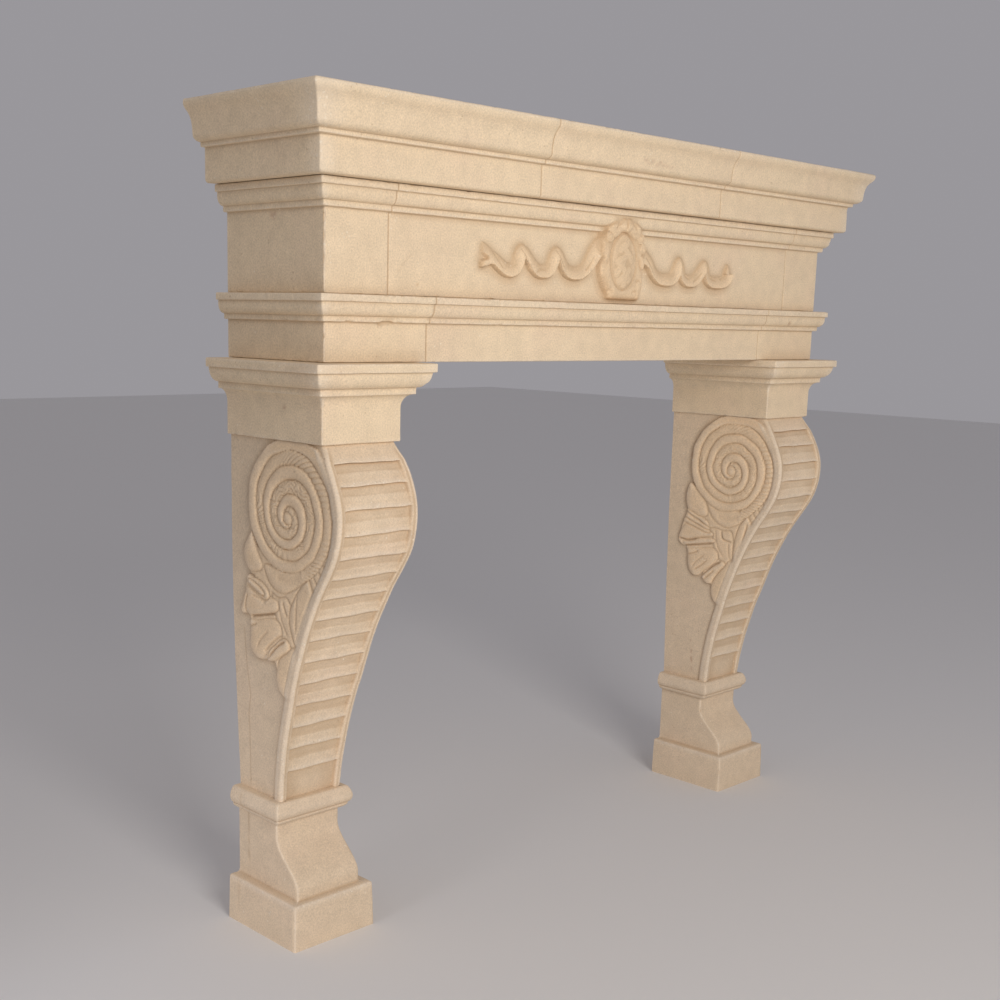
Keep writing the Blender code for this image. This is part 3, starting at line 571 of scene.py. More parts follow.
# The ribbons' middle lines from the cartouche outward, in millimetres: x and height by turns
LEFT_RIBBON = (-64, 112, -74, 102, -84, 90, -94, 76, -106, 64, -122, 57, -142, 56, -158, 62, -168, 74, -176, 86, -186,
    92, -195, 86, -201, 72, -209, 60, -222, 56, -238, 57, -252, 66, -264, 78, -274, 87, -284, 92, -292, 86, -296, 72,
    -302, 60, -314, 55, -330, 57, -346, 66, -360, 74, -376, 78, -394, 80)
RIGHT_RIBBON = (62, 100, 76, 98, 90, 92, 104, 82, 116, 68, 130, 58, 148, 54, 168, 54, 184, 60, 193, 74, 199, 86, 205,
    90, 211, 82, 215, 68, 224, 57, 240, 54, 256, 56, 270, 66, 282, 78, 291, 86, 298, 86, 303, 74, 309, 61, 322, 55,
    344, 54, 362, 56, 374, 60, 381, 68, 380, 80, 372, 86)
RIBBON_HALF = 13.5
RIBBON_LOW = 55.0
RIBBON_HIGH = 90.0
RIBBON_OUT = 2.2
RIBBON_FOLDS = (
    (2.6, 2.0, (-290, 96, -276, 80, -262, 64)),
    (2.4, 2.0, (-192, 98, -178, 82, -166, 64)),
    (2.4, 2.2, (-104, 62, -92, 74, -80, 92)),
    (2.2, 2.0, (-366, 92, -352, 74, -336, 56)),
    (2.0, 2.0, (-246, 52, -232, 60, -214, 58)),
    (2.2, 2.0, (84, 96, 98, 84, 112, 66)),
    (2.4, 2.0, (212, 88, 222, 68, 240, 58)),
    (2.4, 2.0, (301, 86, 312, 66, 336, 58)),
    (2.0, 2.0, (252, 52, 268, 62, 282, 74)),
    (2.4, 2.0, (352, 62, 366, 68, 374, 78)),
)
TAIL_WIDER = {"left": 11.0, "right": 0.0}
TAIL_START = 0.93


def ellipse_share(x, h, place):
    """0 in the middle of an ellipse and 1 on its line."""
    return np.hypot((x - place[0]) / place[2], (h - place[1]) / place[3])


def cartouche_relief(x, h):
    """The shield with its oval, crest and curls."""
    depth = inside_depth(x, h, CARTOUCHE_EDGE)
    result = pillow(depth, PLATE_OUT, 17.0)
    foot = unit((h - 8.0) / 2.5)
    result = np.maximum(result, 9.0 * foot * smooth_step(0.0, 4.0, depth) * (h < 40))
    result = result * np.where(np.abs(x) < 62, foot, 1.0)
    for out, lobe in CARTOUCHE_LOBES:
        share = ellipse_share(x, h, lobe)
        rounded = out * (1 - 0.5 * share ** 4) * np.sqrt(unit((depth + 1) / 7))
        result = np.where(share < 1, np.maximum(result, rounded), result)
    for cut, width, line in CARTOUCHE_FOLDS:
        result = result - crease(x, h, line, cut, width) * (result > 4)
    share = ellipse_share(x, h, OVAL)
    field = FIELD_OUT + dome(share, 7.0) + foliage(x, h)
    result = np.where(share < 1.0, field, result)
    off_rim = (share - 1) * OVAL[2]
    upper = smooth_step(40, 120, h + 0.3 * x)
    result = result - (0.7 + 2.2 * upper) * bell(off_rim + 0.5, 3.2)
    curl_distance = np.hypot(np.abs(x) - CURL[0], h - CURL[1])
    curl = dome(curl_distance / CURL[2], 8.0) + CURL_OUT - 8.0
    curl = curl - 3.0 * bell(curl_distance - 7.0, 1.9)
    return np.where(curl_distance < CURL[2], np.maximum(result, curl), result)


def foliage(x, h):
    """Low leaves of no particular plant in the oval."""
    total = np.zeros(x.shape)
    for xa, ha, xb, hb in LEAF_STEMS:
        distance, along = segment_distance(x, h, (xa, ha), (xb, hb))
        total = np.maximum(total, dome(distance / 8.5, 2.8) * (0.6 + 0.4 * np.sin(pi * along)))
        total = total - 0.8 * bell(distance, 1.3)
    return total


def ribbon_relief(x, h, side):
    """A fluttering band on a waving line: broad strokes that turn over at the crests; the left band ends in a
    swallow tail.
    """
    curve = np.array(smooth_line(LEFT_RIBBON if side == "left" else RIGHT_RIBBON))
    best, nearest, along = line_distance(x, h, curve)
    xa, ha = curve[nearest, 0], curve[nearest, 1]
    dx, dh = (step[nearest] for step in np.diff(curve, axis=0).T)
    under = best * (np.sign(dh * (x - xa) - dx * (h - ha)) * np.sign(dx))
    middle = ha + along * dh
    rise = dh / np.hypot(dx, dh) * np.sign(dx)
    run = (nearest + along) / (len(curve) - 1)
    crest = smooth_step(RIBBON_LOW + 4, RIBBON_HIGH, middle)
    end = smooth_step(TAIL_START, 1.0, run)
    root = smooth_step(0.16, 0.04, run)
    half = RIBBON_HALF * (1 - 0.10 * crest) + TAIL_WIDER[side] * end + 4.0 * root
    tilt = (np.clip(under / half, -1.0, 1.0) + 1) / 2
    face = RIBBON_OUT + 8.4 * tilt ** 0.85 + (2.6 * crest + 1.6 * rise * crest) * (0.4 + 0.6 * tilt)
    edge = unit((half - best) / np.where(under > 0, 1.2, 2.6))
    spent = unit((run - 0.965) / 0.035)
    notch = unit((np.abs(h - middle + 4) - 7 * spent) / 3.5 + (spent <= 0))
    band = face * np.sqrt(edge) * smooth_step(1.0, 0.985, run) * (notch if side == "left" else 1.0)
    for cut, width, line in RIBBON_FOLDS:
        band = band - crease(x, h, line, cut, width) * (band > 3)
    return band


def frieze_relief(x, h):
    x, h = x / MM, h / MM
    ribbons = np.maximum(ribbon_relief(x, h, "left"), ribbon_relief(x, h, "right"))
    return np.maximum(cartouche_relief(x, h), ribbons) * MM


# The leg

# The leg's heights above the floor and its front line, as in the solids
SHAFT_FOOT = 267.9 * MM
SHAFT_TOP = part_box("leg_left")[1].z
SHAFT_HEIGHT = 676.0 * MM
SHAFT_FOOT_DEPTH = 135.0 * MM
BULGE_DEPTH = WALL_DEPTH + 47.9 * MM
FRONT_LINE = ((0.0, 0.0), (0.077, 0.032), (0.195, 0.119), (0.348, 0.285), (0.487, 0.472), (0.595, 0.668),
              (0.710, 0.922), (0.787, 1.0), (0.861, 0.984), (0.943, 0.852), (1.0, 0.704))
GROUND_HALF = ((0, 67.0), (55, 69.0), (96, 71.0), (176, 74.0), (252, 77.0), (332, 79.0), (412, 81.0), (482, 82.0),
               (676, 82.0))
ROLL_PROUD = ((0, 6.0), (180, 6.0), (400, 9.0), (480, 9.8), (612, 9.6), (645, 7.8), (664, 2.2), (676, 0.0))
ROLL_ROUND = 6.0 * MM
PANEL_DEPTH = 7.2 * MM
RIB_COUNT = 15
RIB_FOOT = 52.0 * MM
RIB_PITCH = 46.2 * MM
RIB_LIP_DEPTH = 2.2 * MM
RIB_UNDERCUT = 1.4 * MM
RIB_FLAT_SHARE = 0.50
# How far each leg's ribs, counted from below, were cut off their even spacing, in millimetres
RIB_SHIFT = {"left": ((0, 5.0), (9, 5.0), (11, 2.0), (12, 0.5), (13, -4.0), (14, -8.0)),
             "right": ((0, 10.5), (8, 13.0), (11, 8.5), (12, 4.0), (13, 0.5), (14, -6.0))}

# The volute, in depth from the back plane and height above the shaft's foot. Its inner turns sit off its middle.
EYE = (188.0 * MM, 551.0 * MM)
SPIRAL_RADIUS = 139.5 * MM
SPIRAL_PITCH = 44.0 * MM
VOLUTE_SHIFT = {"left": ((-4.5, 2.0), (-3.5, -14.0)), "right": ((-2.0, 0.0), (0.0, -8.0))}
VOLUTE_SPARE = {"left": 0.11, "right": 0.02}
SMOOTH_SHARE = 20.5 / 44.0
BOSS_RADIUS = 14.0 * MM
# How much lighter the leg's edge roll is painted: a painted highlight
ROLL_HIGHLIGHT = 0.34
LEAF_HEIGHTS = (190 * MM, 510 * MM)
CARVING_LIMIT = 10.4 * MM
ROLL_WIDTH = 22.5 * MM
# The rolls' heights at their sides and middle, the strokes cut across the hatched one, and the groove between them
SMOOTH_BAND = (6.4 * MM, 10.0 * MM)
HATCHED_BAND = (5.8 * MM, 9.1 * MM)
BOSS_BAND = (5.0 * MM, 10.0 * MM)
HATCH_PITCH = 11.0 * MM
TURN_WAVER = 0.09
GROOVE_DEPTH, GROOVE_WIDTH = 1.0 * MM, 1.6 * MM


def interpolate(table, value):
    """A table in millimetres, read at values in metres."""
    return np.interp(value / MM, *zip(*table)) * MM


def front_depth(height):
    """Depth of the leg's front line at a height above the shaft's foot: a smooth curve through FRONT_LINE."""
    share = unit(height / SHAFT_HEIGHT)
    s, v = np.transpose(FRONT_LINE)
    before, after = np.maximum(np.arange(len(s)) - 1, 0), np.minimum(np.arange(len(s)) + 1, len(s) - 1)
    slope = (v[after] - v[before]) / (s[after] - s[before])
    i = np.clip(np.searchsorted(s, share, side="right") - 1, 0, len(s) - 2)
    span = s[i + 1] - s[i]
    t = (share - s[i]) / span
    value = (v[i] * (1 + 2 * t) * (1 - t) ** 2 + v[i + 1] * t * t * (3 - 2 * t)
             + span * (slope[i] * t * (1 - t) ** 2 - slope[i + 1] * t * t * (1 - t)))
    return SHAFT_FOOT_DEPTH + (BULGE_DEPTH - SHAFT_FOOT_DEPTH) * value


def rib_levels(side):
    """Heights of the rib edges above the shaft's foot, evenly spaced along the curved front."""
    height = np.linspace(0.0, SHAFT_HEIGHT, 1500)
    depth = front_depth(height)
    length = np.concatenate([[0.0], np.cumsum(np.hypot(np.diff(height), np.diff(depth)))])
    index, shift = zip(*RIB_SHIFT[side])
    marks = RIB_FOOT + RIB_PITCH * np.arange(RIB_COUNT) + np.interp(np.arange(RIB_COUNT), index, shift) * MM
    return np.interp(marks, length, height), np.interp(marks + RIB_PITCH * (1 - RIB_FLAT_SHARE), length, height)


def panel_table(edges, ramps):
    """How deep the front's panel lies, by height: a lip, a ramp behind it, a flat, and an undercut below the
    next lip."""
    rows = [(0.0, PANEL_DEPTH)]
    for index, (edge, ramp) in enumerate(zip(edges, ramps)):
        rows += [(edge - 5.0 * MM, PANEL_DEPTH), (edge - 0.8 * MM, PANEL_DEPTH + RIB_UNDERCUT)]
        if index < RIB_COUNT - 1:
            lip = RIB_LIP_DEPTH + 0.6 * MM * sin(2.4 * index)
            fall = PANEL_DEPTH - lip
            rows += [(edge, lip + 0.6 * MM), (edge + 1.2 * MM, lip), (edge + 0.5 * (ramp - edge), lip + 0.55 * fall),
                     (ramp, PANEL_DEPTH - 1.2 * MM), (ramp + 2.2 * MM, PANEL_DEPTH)]
        else:
            rows += [(edge, 0.8 * MM), (edge + 1.4 * MM, 0.0), (SHAFT_HEIGHT, 0.0)]
    return np.array(rows)


def shaft_heights(edges, ramps):
    """Rows of the leg's grid: on every rib edge, and close enough between them for the carving."""
    marks = [0.0, SHAFT_TOP - SHAFT_FOOT]
    for edge, ramp in zip(edges, ramps):
        marks += [edge - 0.8 * MM, edge, edge + 1.3 * MM]
        if ramp < SHAFT_HEIGHT - 10 * MM:
            marks += [ramp, ramp + 1.4 * MM]
    marks = sorted(marks)
    rows = [marks[0]]
    for low, high in zip(marks, marks[1:]):
        spacing = 2.15 * MM if low > LEAF_HEIGHTS[0] else 4.0 * MM
        parts = max(1, round((high - low) / spacing))
        rows += [low + (high - low) * (part + 1) / parts for part in range(parts)]
    return np.array(rows)


def spiral_place(u, h, shift):
    """The volute's coordinates: radius, turn share 0 to 1, and how many pitches in from its outer edge."""
    outer, inner = shift
    u = u - EYE[0] - outer[0] * MM
    h = h - EYE[1] - outer[1] * MM
    drawn = unit(1 - np.hypot(u, h) / (100 * MM))
    u = u - drawn * inner[0] * MM
    h = h - drawn * inner[1] * MM
    radius = np.hypot(u, h)
    turn = (np.arctan2(h, u) / (2 * pi)) % 1.0
    inward = (SPIRAL_RADIUS - SPIRAL_PITCH * turn - radius) / SPIRAL_PITCH
    return radius, turn, inward


def rounded_band(share, low, high):
    """The height across a band, low at its sides and high in its middle."""
    return low + dome(2 * share - 1, high - low)


def volute_relief(u, h, seed, shift, spare):
    """The spiral: a smooth roll and a hatched roll side by side, winding in to a small boss, and where it lies."""
    radius, turn, inward = spiral_place(u, h, shift)
    points = np.stack([u, h, np.full(u.shape, seed * 0.1)], axis=-1).reshape(-1, 3)
    inward = inward + (value_noise(points, 26 * MM, seed + 9).reshape(u.shape) - 0.5) * TURN_WAVER
    spare = spare * np.sin(pi * turn)
    outer = (inward > -spare) & (inward < SMOOTH_SHARE)
    inward = np.where(outer, (inward + spare) / (SMOOTH_SHARE + spare) * SMOOTH_SHARE, inward)
    across = inward - np.floor(inward)
    tail = (inward < 0) & (inward > -1) & (turn > 0.80) & (across > SMOOTH_SHARE)
    smooth = rounded_band(across / SMOOTH_SHARE, *SMOOTH_BAND)
    hatched = rounded_band((across - SMOOTH_SHARE) / (1 - SMOOTH_SHARE), *HATCHED_BAND)
    arc = (turn + np.floor(inward)) * 2 * pi * np.maximum(radius, 20 * MM)
    strokes = np.sin(2 * pi * arc / HATCH_PITCH + 2.2 * np.sin(7 * turn * pi) + 3.0 * across)
    patches = smooth_step(0.28, 0.55, value_noise(points, 42 * MM, seed + 5)).reshape(u.shape)
    hatched = hatched - (0.40 + 1.50 * patches) * MM * unit(strokes) ** 1.5
    result = np.where(across < SMOOTH_SHARE, smooth, hatched)
    groove = np.minimum(np.abs(across - SMOOTH_SHARE), np.minimum(across, 1 - across)) * SPIRAL_PITCH
    result = result - GROOVE_DEPTH * bell(groove, GROOVE_WIDTH)
    boss = rounded_band(unit(0.5 + 0.5 * radius / BOSS_RADIUS), *BOSS_BAND)
    return np.where(radius < BOSS_RADIUS, boss, result), (inward > 0) | tail


# The leaf below the volute, in millimetres: depth from the back plane and height above the floor. Lobes are laid
# one over the other in the order of the list: height, softness, outline. A crease has depth, width and line. An
# outline or line gives its points' two coordinates by turns. The two legs were cut by hand and differ.
LEFT_LOBES = (
    (6.8, 8, (62, 700, 52, 684, 46, 664, 36, 642, 30, 622, 36, 613, 54, 616, 60, 600, 60, 575, 60, 556, 72, 541, 88,
        535, 104, 538, 118, 543, 134, 534, 137, 512, 140, 495, 150, 480, 166, 471, 190, 500, 225, 575, 250, 640, 264,
        690, 250, 722, 215, 730, 180, 726, 140, 728, 110, 738, 85, 746)),
    (7.4, 10, (128, 668, 148, 662, 172, 666, 186, 650, 190, 620, 196, 592, 190, 574, 168, 580, 150, 594, 140, 620,
        134, 645)),
    (9.0, 10, (236, 714, 214, 690, 196, 668, 183, 645, 180, 622, 187, 598, 198, 578, 212, 600, 232, 640, 250, 680,
        256, 700)),
    (9.2, 17, (60, 606, 60, 580, 57, 562, 63, 546, 78, 536, 94, 537, 107, 547, 122, 561, 144, 577, 158, 592, 156, 610,
        140, 620, 112, 617, 86, 610)),
    (9.2, 15, (62, 674, 48, 660, 40, 641, 31, 624, 36, 614, 50, 617, 64, 614, 90, 619, 115, 625, 138, 631, 150, 641,
        145, 655, 125, 660, 95, 669)),
    (8.2, 6, (57, 692, 80, 688, 104, 682, 121, 668, 121, 655, 108, 650, 90, 655, 70, 664, 54, 674)),
    (9.4, 5, (60, 684, 84, 678, 102, 669, 110, 660, 99, 658, 80, 665, 60, 675)),
    (8.6, 13, (108, 718, 113, 699, 125, 683, 144, 672, 165, 670, 185, 677, 204, 687, 226, 699, 242, 712, 216, 722,
        180, 716, 140, 718)),
    (9.8, 15, (72, 774, 58, 760, 47, 742, 46, 724, 54, 706, 66, 698, 82, 699, 98, 704, 104, 716, 94, 732, 82, 752)),
    (8.8, 15, (148, 548, 140, 528, 136, 508, 141, 489, 155, 477, 172, 471, 184, 490, 196, 520, 206, 550, 200, 572,
        184, 574, 166, 562)),
    (9.8, 8, (112, 540, 122, 537, 140, 544, 158, 555, 177, 567, 180, 582, 166, 589, 148, 581, 132, 569, 118, 557)),
    (7.6, 9, (308, 792, 304, 756, 292, 726, 274, 700, 257, 680, 247, 690, 239, 706, 226, 722, 252, 728, 276, 748, 292,
        770)),
)
LEFT_CREASES = (
    (4.6, 2.6, (116, 544, 132, 560, 148, 573, 167, 583)),
    (2.4, 2.4, (104, 553, 122, 569, 142, 584, 156, 592)),
    (4.6, 2.4, (62, 612, 98, 620, 138, 629)),
    (2.4, 2.4, (58, 592, 68, 596, 82, 602)),
    (3.2, 4.0, (55, 695, 66, 691, 78, 690)),
    (2.6, 2.4, (50, 616, 49, 636, 56, 654)),
    (2.2, 2.2, (72, 655, 92, 651, 112, 646)),
    (2.4, 2.6, (162, 656, 168, 640, 174, 630)),
    (1.6, 2.4, (148, 660, 156, 624, 176, 592)),
    (1.6, 2.4, (206, 676, 202, 640, 200, 604)),
    (1.7, 9.0, (146, 700, 180, 697, 214, 705)),
    (2.0, 2.2, (264, 728, 278, 714)),
    (2.0, 2.2, (272, 744, 289, 732)),
    (2.0, 2.2, (252, 713, 264, 700)),
    (2.0, 2.2, (282, 762, 298, 752)),
    (1.4, 2.4, (84, 560, 96, 576, 118, 594)),
)
RIGHT_LOBES = (
    (6.8, 8, (60, 700, 53, 684, 45, 662, 38, 640, 36, 622, 48, 612, 62, 606, 65, 580, 70, 552, 84, 539, 102, 541, 116,
        548, 126, 530, 140, 522, 142, 500, 152, 483, 170, 470, 205, 520, 235, 590, 262, 660, 264, 700, 236, 734, 190,
        728, 150, 728, 120, 738, 95, 748, 75, 732)),
    (7.4, 10, (130, 664, 150, 668, 170, 664, 196, 664, 204, 630, 202, 600, 190, 580, 168, 584, 152, 598, 142, 622,
        138, 645)),
    (9.2, 10, (240, 722, 224, 694, 211, 664, 204, 634, 202, 604, 208, 578, 221, 600, 239, 638, 255, 672, 263, 702)),
    (9.2, 17, (67, 606, 67, 585, 68, 566, 76, 549, 88, 539, 100, 540, 112, 549, 126, 561, 146, 575, 160, 591, 158,
        608, 142, 617, 112, 613, 84, 608)),
    (8.6, 8, (50, 622, 60, 613, 84, 616, 112, 620, 142, 627, 149, 637, 132, 641, 104, 637, 88, 632, 66, 626)),
    (9.4, 14, (68, 674, 51, 662, 42, 647, 37, 632, 46, 628, 66, 628, 90, 634, 118, 640, 143, 646, 138, 656, 112, 662,
        88, 668)),
    (8.4, 6, (50, 676, 64, 668, 92, 660, 120, 652, 134, 654, 118, 664, 88, 673, 62, 684)),
    (8.8, 6, (56, 688, 66, 680, 92, 671, 118, 661, 132, 662, 118, 673, 90, 683, 66, 693)),
    (9.2, 6, (60, 704, 70, 694, 94, 684, 116, 672, 130, 668, 124, 682, 100, 694, 72, 708)),
    (8.8, 12, (119, 734, 123, 714, 132, 698, 146, 684, 164, 674, 184, 671, 204, 678, 224, 689, 240, 712, 205, 718,
        160, 715)),
    (9.8, 15, (66, 772, 56, 748, 56, 724, 63, 706, 80, 698, 98, 691, 116, 691, 124, 700, 118, 724, 104, 744, 86,
        762)),
    (8.8, 15, (148, 536, 141, 510, 145, 490, 155, 477, 170, 471, 184, 488, 196, 520, 208, 556, 212, 584, 196, 592,
        178, 576, 162, 556)),
    (9.6, 8, (112, 543, 118, 530, 130, 523, 142, 527, 152, 542, 166, 560, 182, 578, 172, 588, 150, 576, 132, 562, 120,
        556)),
    (7.6, 9, (310, 790, 306, 750, 294, 724, 276, 702, 258, 684, 248, 694, 240, 710, 230, 726, 254, 732, 278, 750, 294,
        772)),
)
RIGHT_CREASES = (
    (3.6, 2.4, (39, 630, 66, 626, 92, 633)),
    (4.2, 2.4, (54, 611, 96, 619, 142, 628)),
    (2.6, 2.4, (67, 590, 84, 596, 100, 603)),
    (4.4, 2.6, (112, 541, 128, 556, 150, 574, 168, 583)),
    (2.4, 2.4, (118, 532, 134, 546, 150, 560)),
    (2.2, 2.4, (92, 556, 108, 566, 128, 584)),
    (1.7, 9.0, (152, 697, 184, 693, 216, 700)),
    (2.8, 2.4, (242, 690, 228, 640, 211, 594)),
    (3.0, 2.4, (166, 662, 172, 642, 198, 637)),
    (1.6, 2.4, (148, 664, 156, 624, 176, 596)),
    (1.6, 2.4, (188, 634, 190, 610, 196, 590)),
    (1.4, 2.4, (84, 562, 98, 578, 120, 596)),
    (2.0, 2.2, (264, 730, 278, 716)),
    (2.0, 2.2, (272, 746, 290, 734)),
    (2.0, 2.2, (254, 716, 265, 703)),
)
LEAF_SIDES = {"left": (LEFT_LOBES, LEFT_CREASES), "right": (RIGHT_LOBES, RIGHT_CREASES)}


def leaf_relief(u, z, side):
    """The acanthus leaf: domed lobes laid one over the other, with folds cut into them."""
    a, b = u / MM, z / MM
    lobes, creases = LEAF_SIDES[side]
    result = np.zeros(u.shape)
    for height, softness, outline in lobes:
        depth = inside_depth(a, b, outline)
        lobe = height * 0.45 + pillow(depth, height * 0.55, softness * 1.3) - 0.8 * bell(depth, 2.0)
        weight = smooth_step(-2.6, 2.0, depth)
        result = result * (1 - weight) + lobe * weight
    outer_depth = inside_depth(a, b, lobes[0][2])
    result = result * smooth_step(-3.5, 2.5, np.maximum(outer_depth, np.where(result > 0.6 * lobes[1][0], 3.0, -9.0)))
    for depth, width, line in creases:
        result = result - 1.2 * crease(a, b, line, depth, width) * (result > 1.0)
    return np.maximum(result, 0.0) * MM


def roll_share(from_front):
    """The edge roll across its width, by the distance behind the front line."""
    return dome(unit((from_front - 13 * MM) / (10.5 * MM)), 1.0)


def side_relief(u, h, depth, seed, side):
    """How far a leg's side stands out from its ground, at depth u and height h above the shaft's foot."""
    volute, within = volute_relief(u, h, seed, VOLUTE_SHIFT[side], VOLUTE_SPARE[side])
    near_leaf = (h < LEAF_HEIGHTS[1]) & (h > LEAF_HEIGHTS[0])
    leaf = np.zeros(u.shape)
    leaf[near_leaf] = leaf_relief(u[near_leaf], h[near_leaf] + SHAFT_FOOT, side)
    carving = np.where(within, volute, leaf)
    corner = (u > EYE[0] + 12 * MM) & (h > EYE[1] + 40 * MM) & ~within
    roll = interpolate(ROLL_PROUD, h) * np.where(corner, 1.0, roll_share(depth - u))
    carving = np.minimum(carving, CARVING_LIMIT - 0.28 * np.maximum(h - (SHAFT_HEIGHT - 26 * MM), 0.0))
    gap = np.abs(depth - u - ROLL_WIDTH)
    carving = carving - 0.7 * MM * bell(gap, 2.0 * MM) * (carving > 3 * MM) * (h < 600 * MM)
    return np.maximum(roll, np.maximum(carving, 0.0))


SIDE_COLUMNS = 110
ROLL_STATIONS = (27, 25, 23.5, 22.5, 21.5, 20, 18, 15.5, 12.5, 9.5, 7.5)
CORNER_ANGLES = (0, 18, 36, 54, 72, 90)
MARGIN_STATIONS = (8.5, 11.5, 14.2, 15.2, 16.4, 17.8)
PANEL_STATIONS = (1.0, 0.84, 0.68, 0.52, 0.36, 0.2, 0.06)


def side_by_side(*parts):
    return np.concatenate(parts, axis=1)


def half_section(height, depth, panel, rib_light_and_shade, seed, leg_side):
    """One half of the shaft's grid: rows by height, columns from the back round the side to the front's middle.

    Returns distance from the leg's middle plane, depth from the back, height over the surface's ground, and the
    painted light and shade.
    """
    h, d = height[:, None], depth[:, None]
    inner = np.linspace(0.0, 1.0, SIDE_COLUMNS) * (d - (ROLL_STATIONS[0] + 2) * MM)
    u = side_by_side(inner, d - np.array(ROLL_STATIONS) * MM)
    relief = side_relief(u, np.broadcast_to(h, u.shape), np.broadcast_to(d, u.shape), seed, leg_side)
    side = interpolate(GROUND_HALF, h) + relief
    edge = side[:, -1:]
    angle = np.radians(CORNER_ANGLES)
    corner = np.ones((len(height), len(angle)))
    panel_x = (edge - (MARGIN_STATIONS[-1] + 1.5) * MM) * np.array(PANEL_STATIONS)
    front_x = side_by_side(edge - np.array(MARGIN_STATIONS) * MM, panel_x)
    from_edge = edge - front_x
    sunk = smooth_step(MARGIN_STATIONS[2] * MM, MARGIN_STATIONS[-1] * MM, from_edge) * panel[:, None]
    crest = 0.5 * MM * np.sin(pi * unit(from_edge / (14 * MM)))
    x = side_by_side(side, edge - ROLL_ROUND * (1 - np.cos(angle)), front_x)
    y = side_by_side(u, d - ROLL_ROUND * (1 - np.sin(angle)), d - sunk - 0.5 * MM + crest)
    level = side_by_side(relief, relief[:, -1:] * corner, -sunk)
    # The edge roll and the front corner painted lighter as highlight; the ribs get painted light and shade
    side_roll_highlight = ROLL_HIGHLIGHT * roll_share(d - u) * (relief > 4 * MM)
    return x, y, level, side_by_side(side_roll_highlight, ROLL_HIGHLIGHT * corner, rib_light_and_shade[:, None] * (sunk > 0.5 * MM))


def base_rows():
    """Rows of plinth, foot and band: height, half width at the back and front, depth, edge value."""
    rows = [(0.0, 96.0, 96.0, 209.5, 0.6), (2.0, 96.6, 96.6, 210.5, 0.3)]
    rows += [(z, 96.6 - 0.028 * z, 96.6 - 0.028 * z, 210.5 - 0.02 * z, 0.0) for z in range(10, 82, 8)]
    rows += [(84.6, 94.0, 94.0, 208.4, 0.7), (86.8, 93.2, 93.2, 207.6, 1.0), (88.1, 91.2, 91.2, 205.6, 0.7),
             (88.5, 86.0, 86.0, 200.0, 0.0), (88.3, 76.5, 78.5, 194.5, -0.5), (89.4, 73.0, 75.6, 191.4, -1.0)]
    for step in range(1, 34):
        z = 90.5 + (219.5 - 90.5) * step / 33
        share = np.clip((195 - z) / 90, 0, 1)
        depth = 126.0 + (190.5 - 126.0) * (1 - cos(pi * share)) / 2
        rows.append((z, 70.8, 74.6, depth, 0.0))
    rows += [(221.0, 71.2, 75.0, 127.0, -1.0), (222.6, 74.0, 77.0, 130.0, 0.0), (224.6, 79.6, 81.4, 137.0, 0.3),
             (227.2, 82.6, 83.8, 141.0, 0.5), (230.0, 84.4, 85.4, 143.2, 0.5), (232.4, 84.8, 85.8, 143.6, 0.2),
             (233.8, 84.2, 85.2, 143.0, -1.0), (235.0, 86.4, 87.2, 144.6, -0.6), (238.0, 89.0, 89.6, 148.2, 0.2),
             (242.0, 91.0, 91.4, 150.4, 0.3), (247.5, 92.0, 92.2, 151.4, 0.5), (253.0, 91.2, 91.4, 150.6, 0.4),
             (258.0, 89.6, 89.8, 148.6, 0.3), (262.5, 87.6, 88.0, 146.2, 0.4), (265.8, 85.2, 85.8, 144.0, 0.5),
             (267.6, 81.6, 82.4, 141.6, 0.2), (267.9, 79.0, 80.0, 139.6, 0.0)]
    return rows


BASE_SIDE = tuple(np.linspace(0.0, 1.0, 27))
BASE_FRONT = tuple(np.linspace(-1.0, 1.0, 31))
BASE_ROUND = 3.0
CORNER_AT, FRONT_REACH = 0.36, 0.14
HALF_SEED = 31
# Painted shade with dust on the ribs' flats, painted highlight on their ramps that face up towards the light
RIB_SHADE, RIB_HIGHLIGHT = -0.26, 0.44
# How the ribs' edges waver: how far and how long across, both in millimetres, then how it changes with height
RIB_WAVER = ((0.7, 31, 9.0, 0.11, 1), (0.4, 11, 5.0, 0.07, -1))


def base_ring(row):
    """One row of the base from the back left corner round the front to the back right corner."""
    z, half_back, half_front, depth, edge = row
    left = [(-(half_back + (half_front - half_back) * s), s * (depth - BASE_ROUND), z, edge) for s in BASE_SIDE]
    corner = [(-(half_front - BASE_ROUND * (1 - cos(a))), depth - BASE_ROUND * (1 - sin(a)), z, max(edge, 0.8))
              for a in (radians(30), radians(60))]
    front = [(s * (half_front - BASE_ROUND), depth, z, edge) for s in BASE_FRONT]
    right = [(-x, d, z, e) for x, d, z, e in reversed(left + corner)]
    return left + corner + front + right


def corner_share(points, depth):
    """Shares of a U-shaped row that put its two front corners at the same places in every row."""
    x, d = points[:, 0], points[:, 1]
    side = CORNER_AT * d / depth
    front = 0.5 + FRONT_REACH * np.clip(x / np.abs(x).max(), -1, 1)
    return np.maximum.accumulate(np.where(d < depth - 6 * MM, np.where(x < 0, side, 1 - side), front))


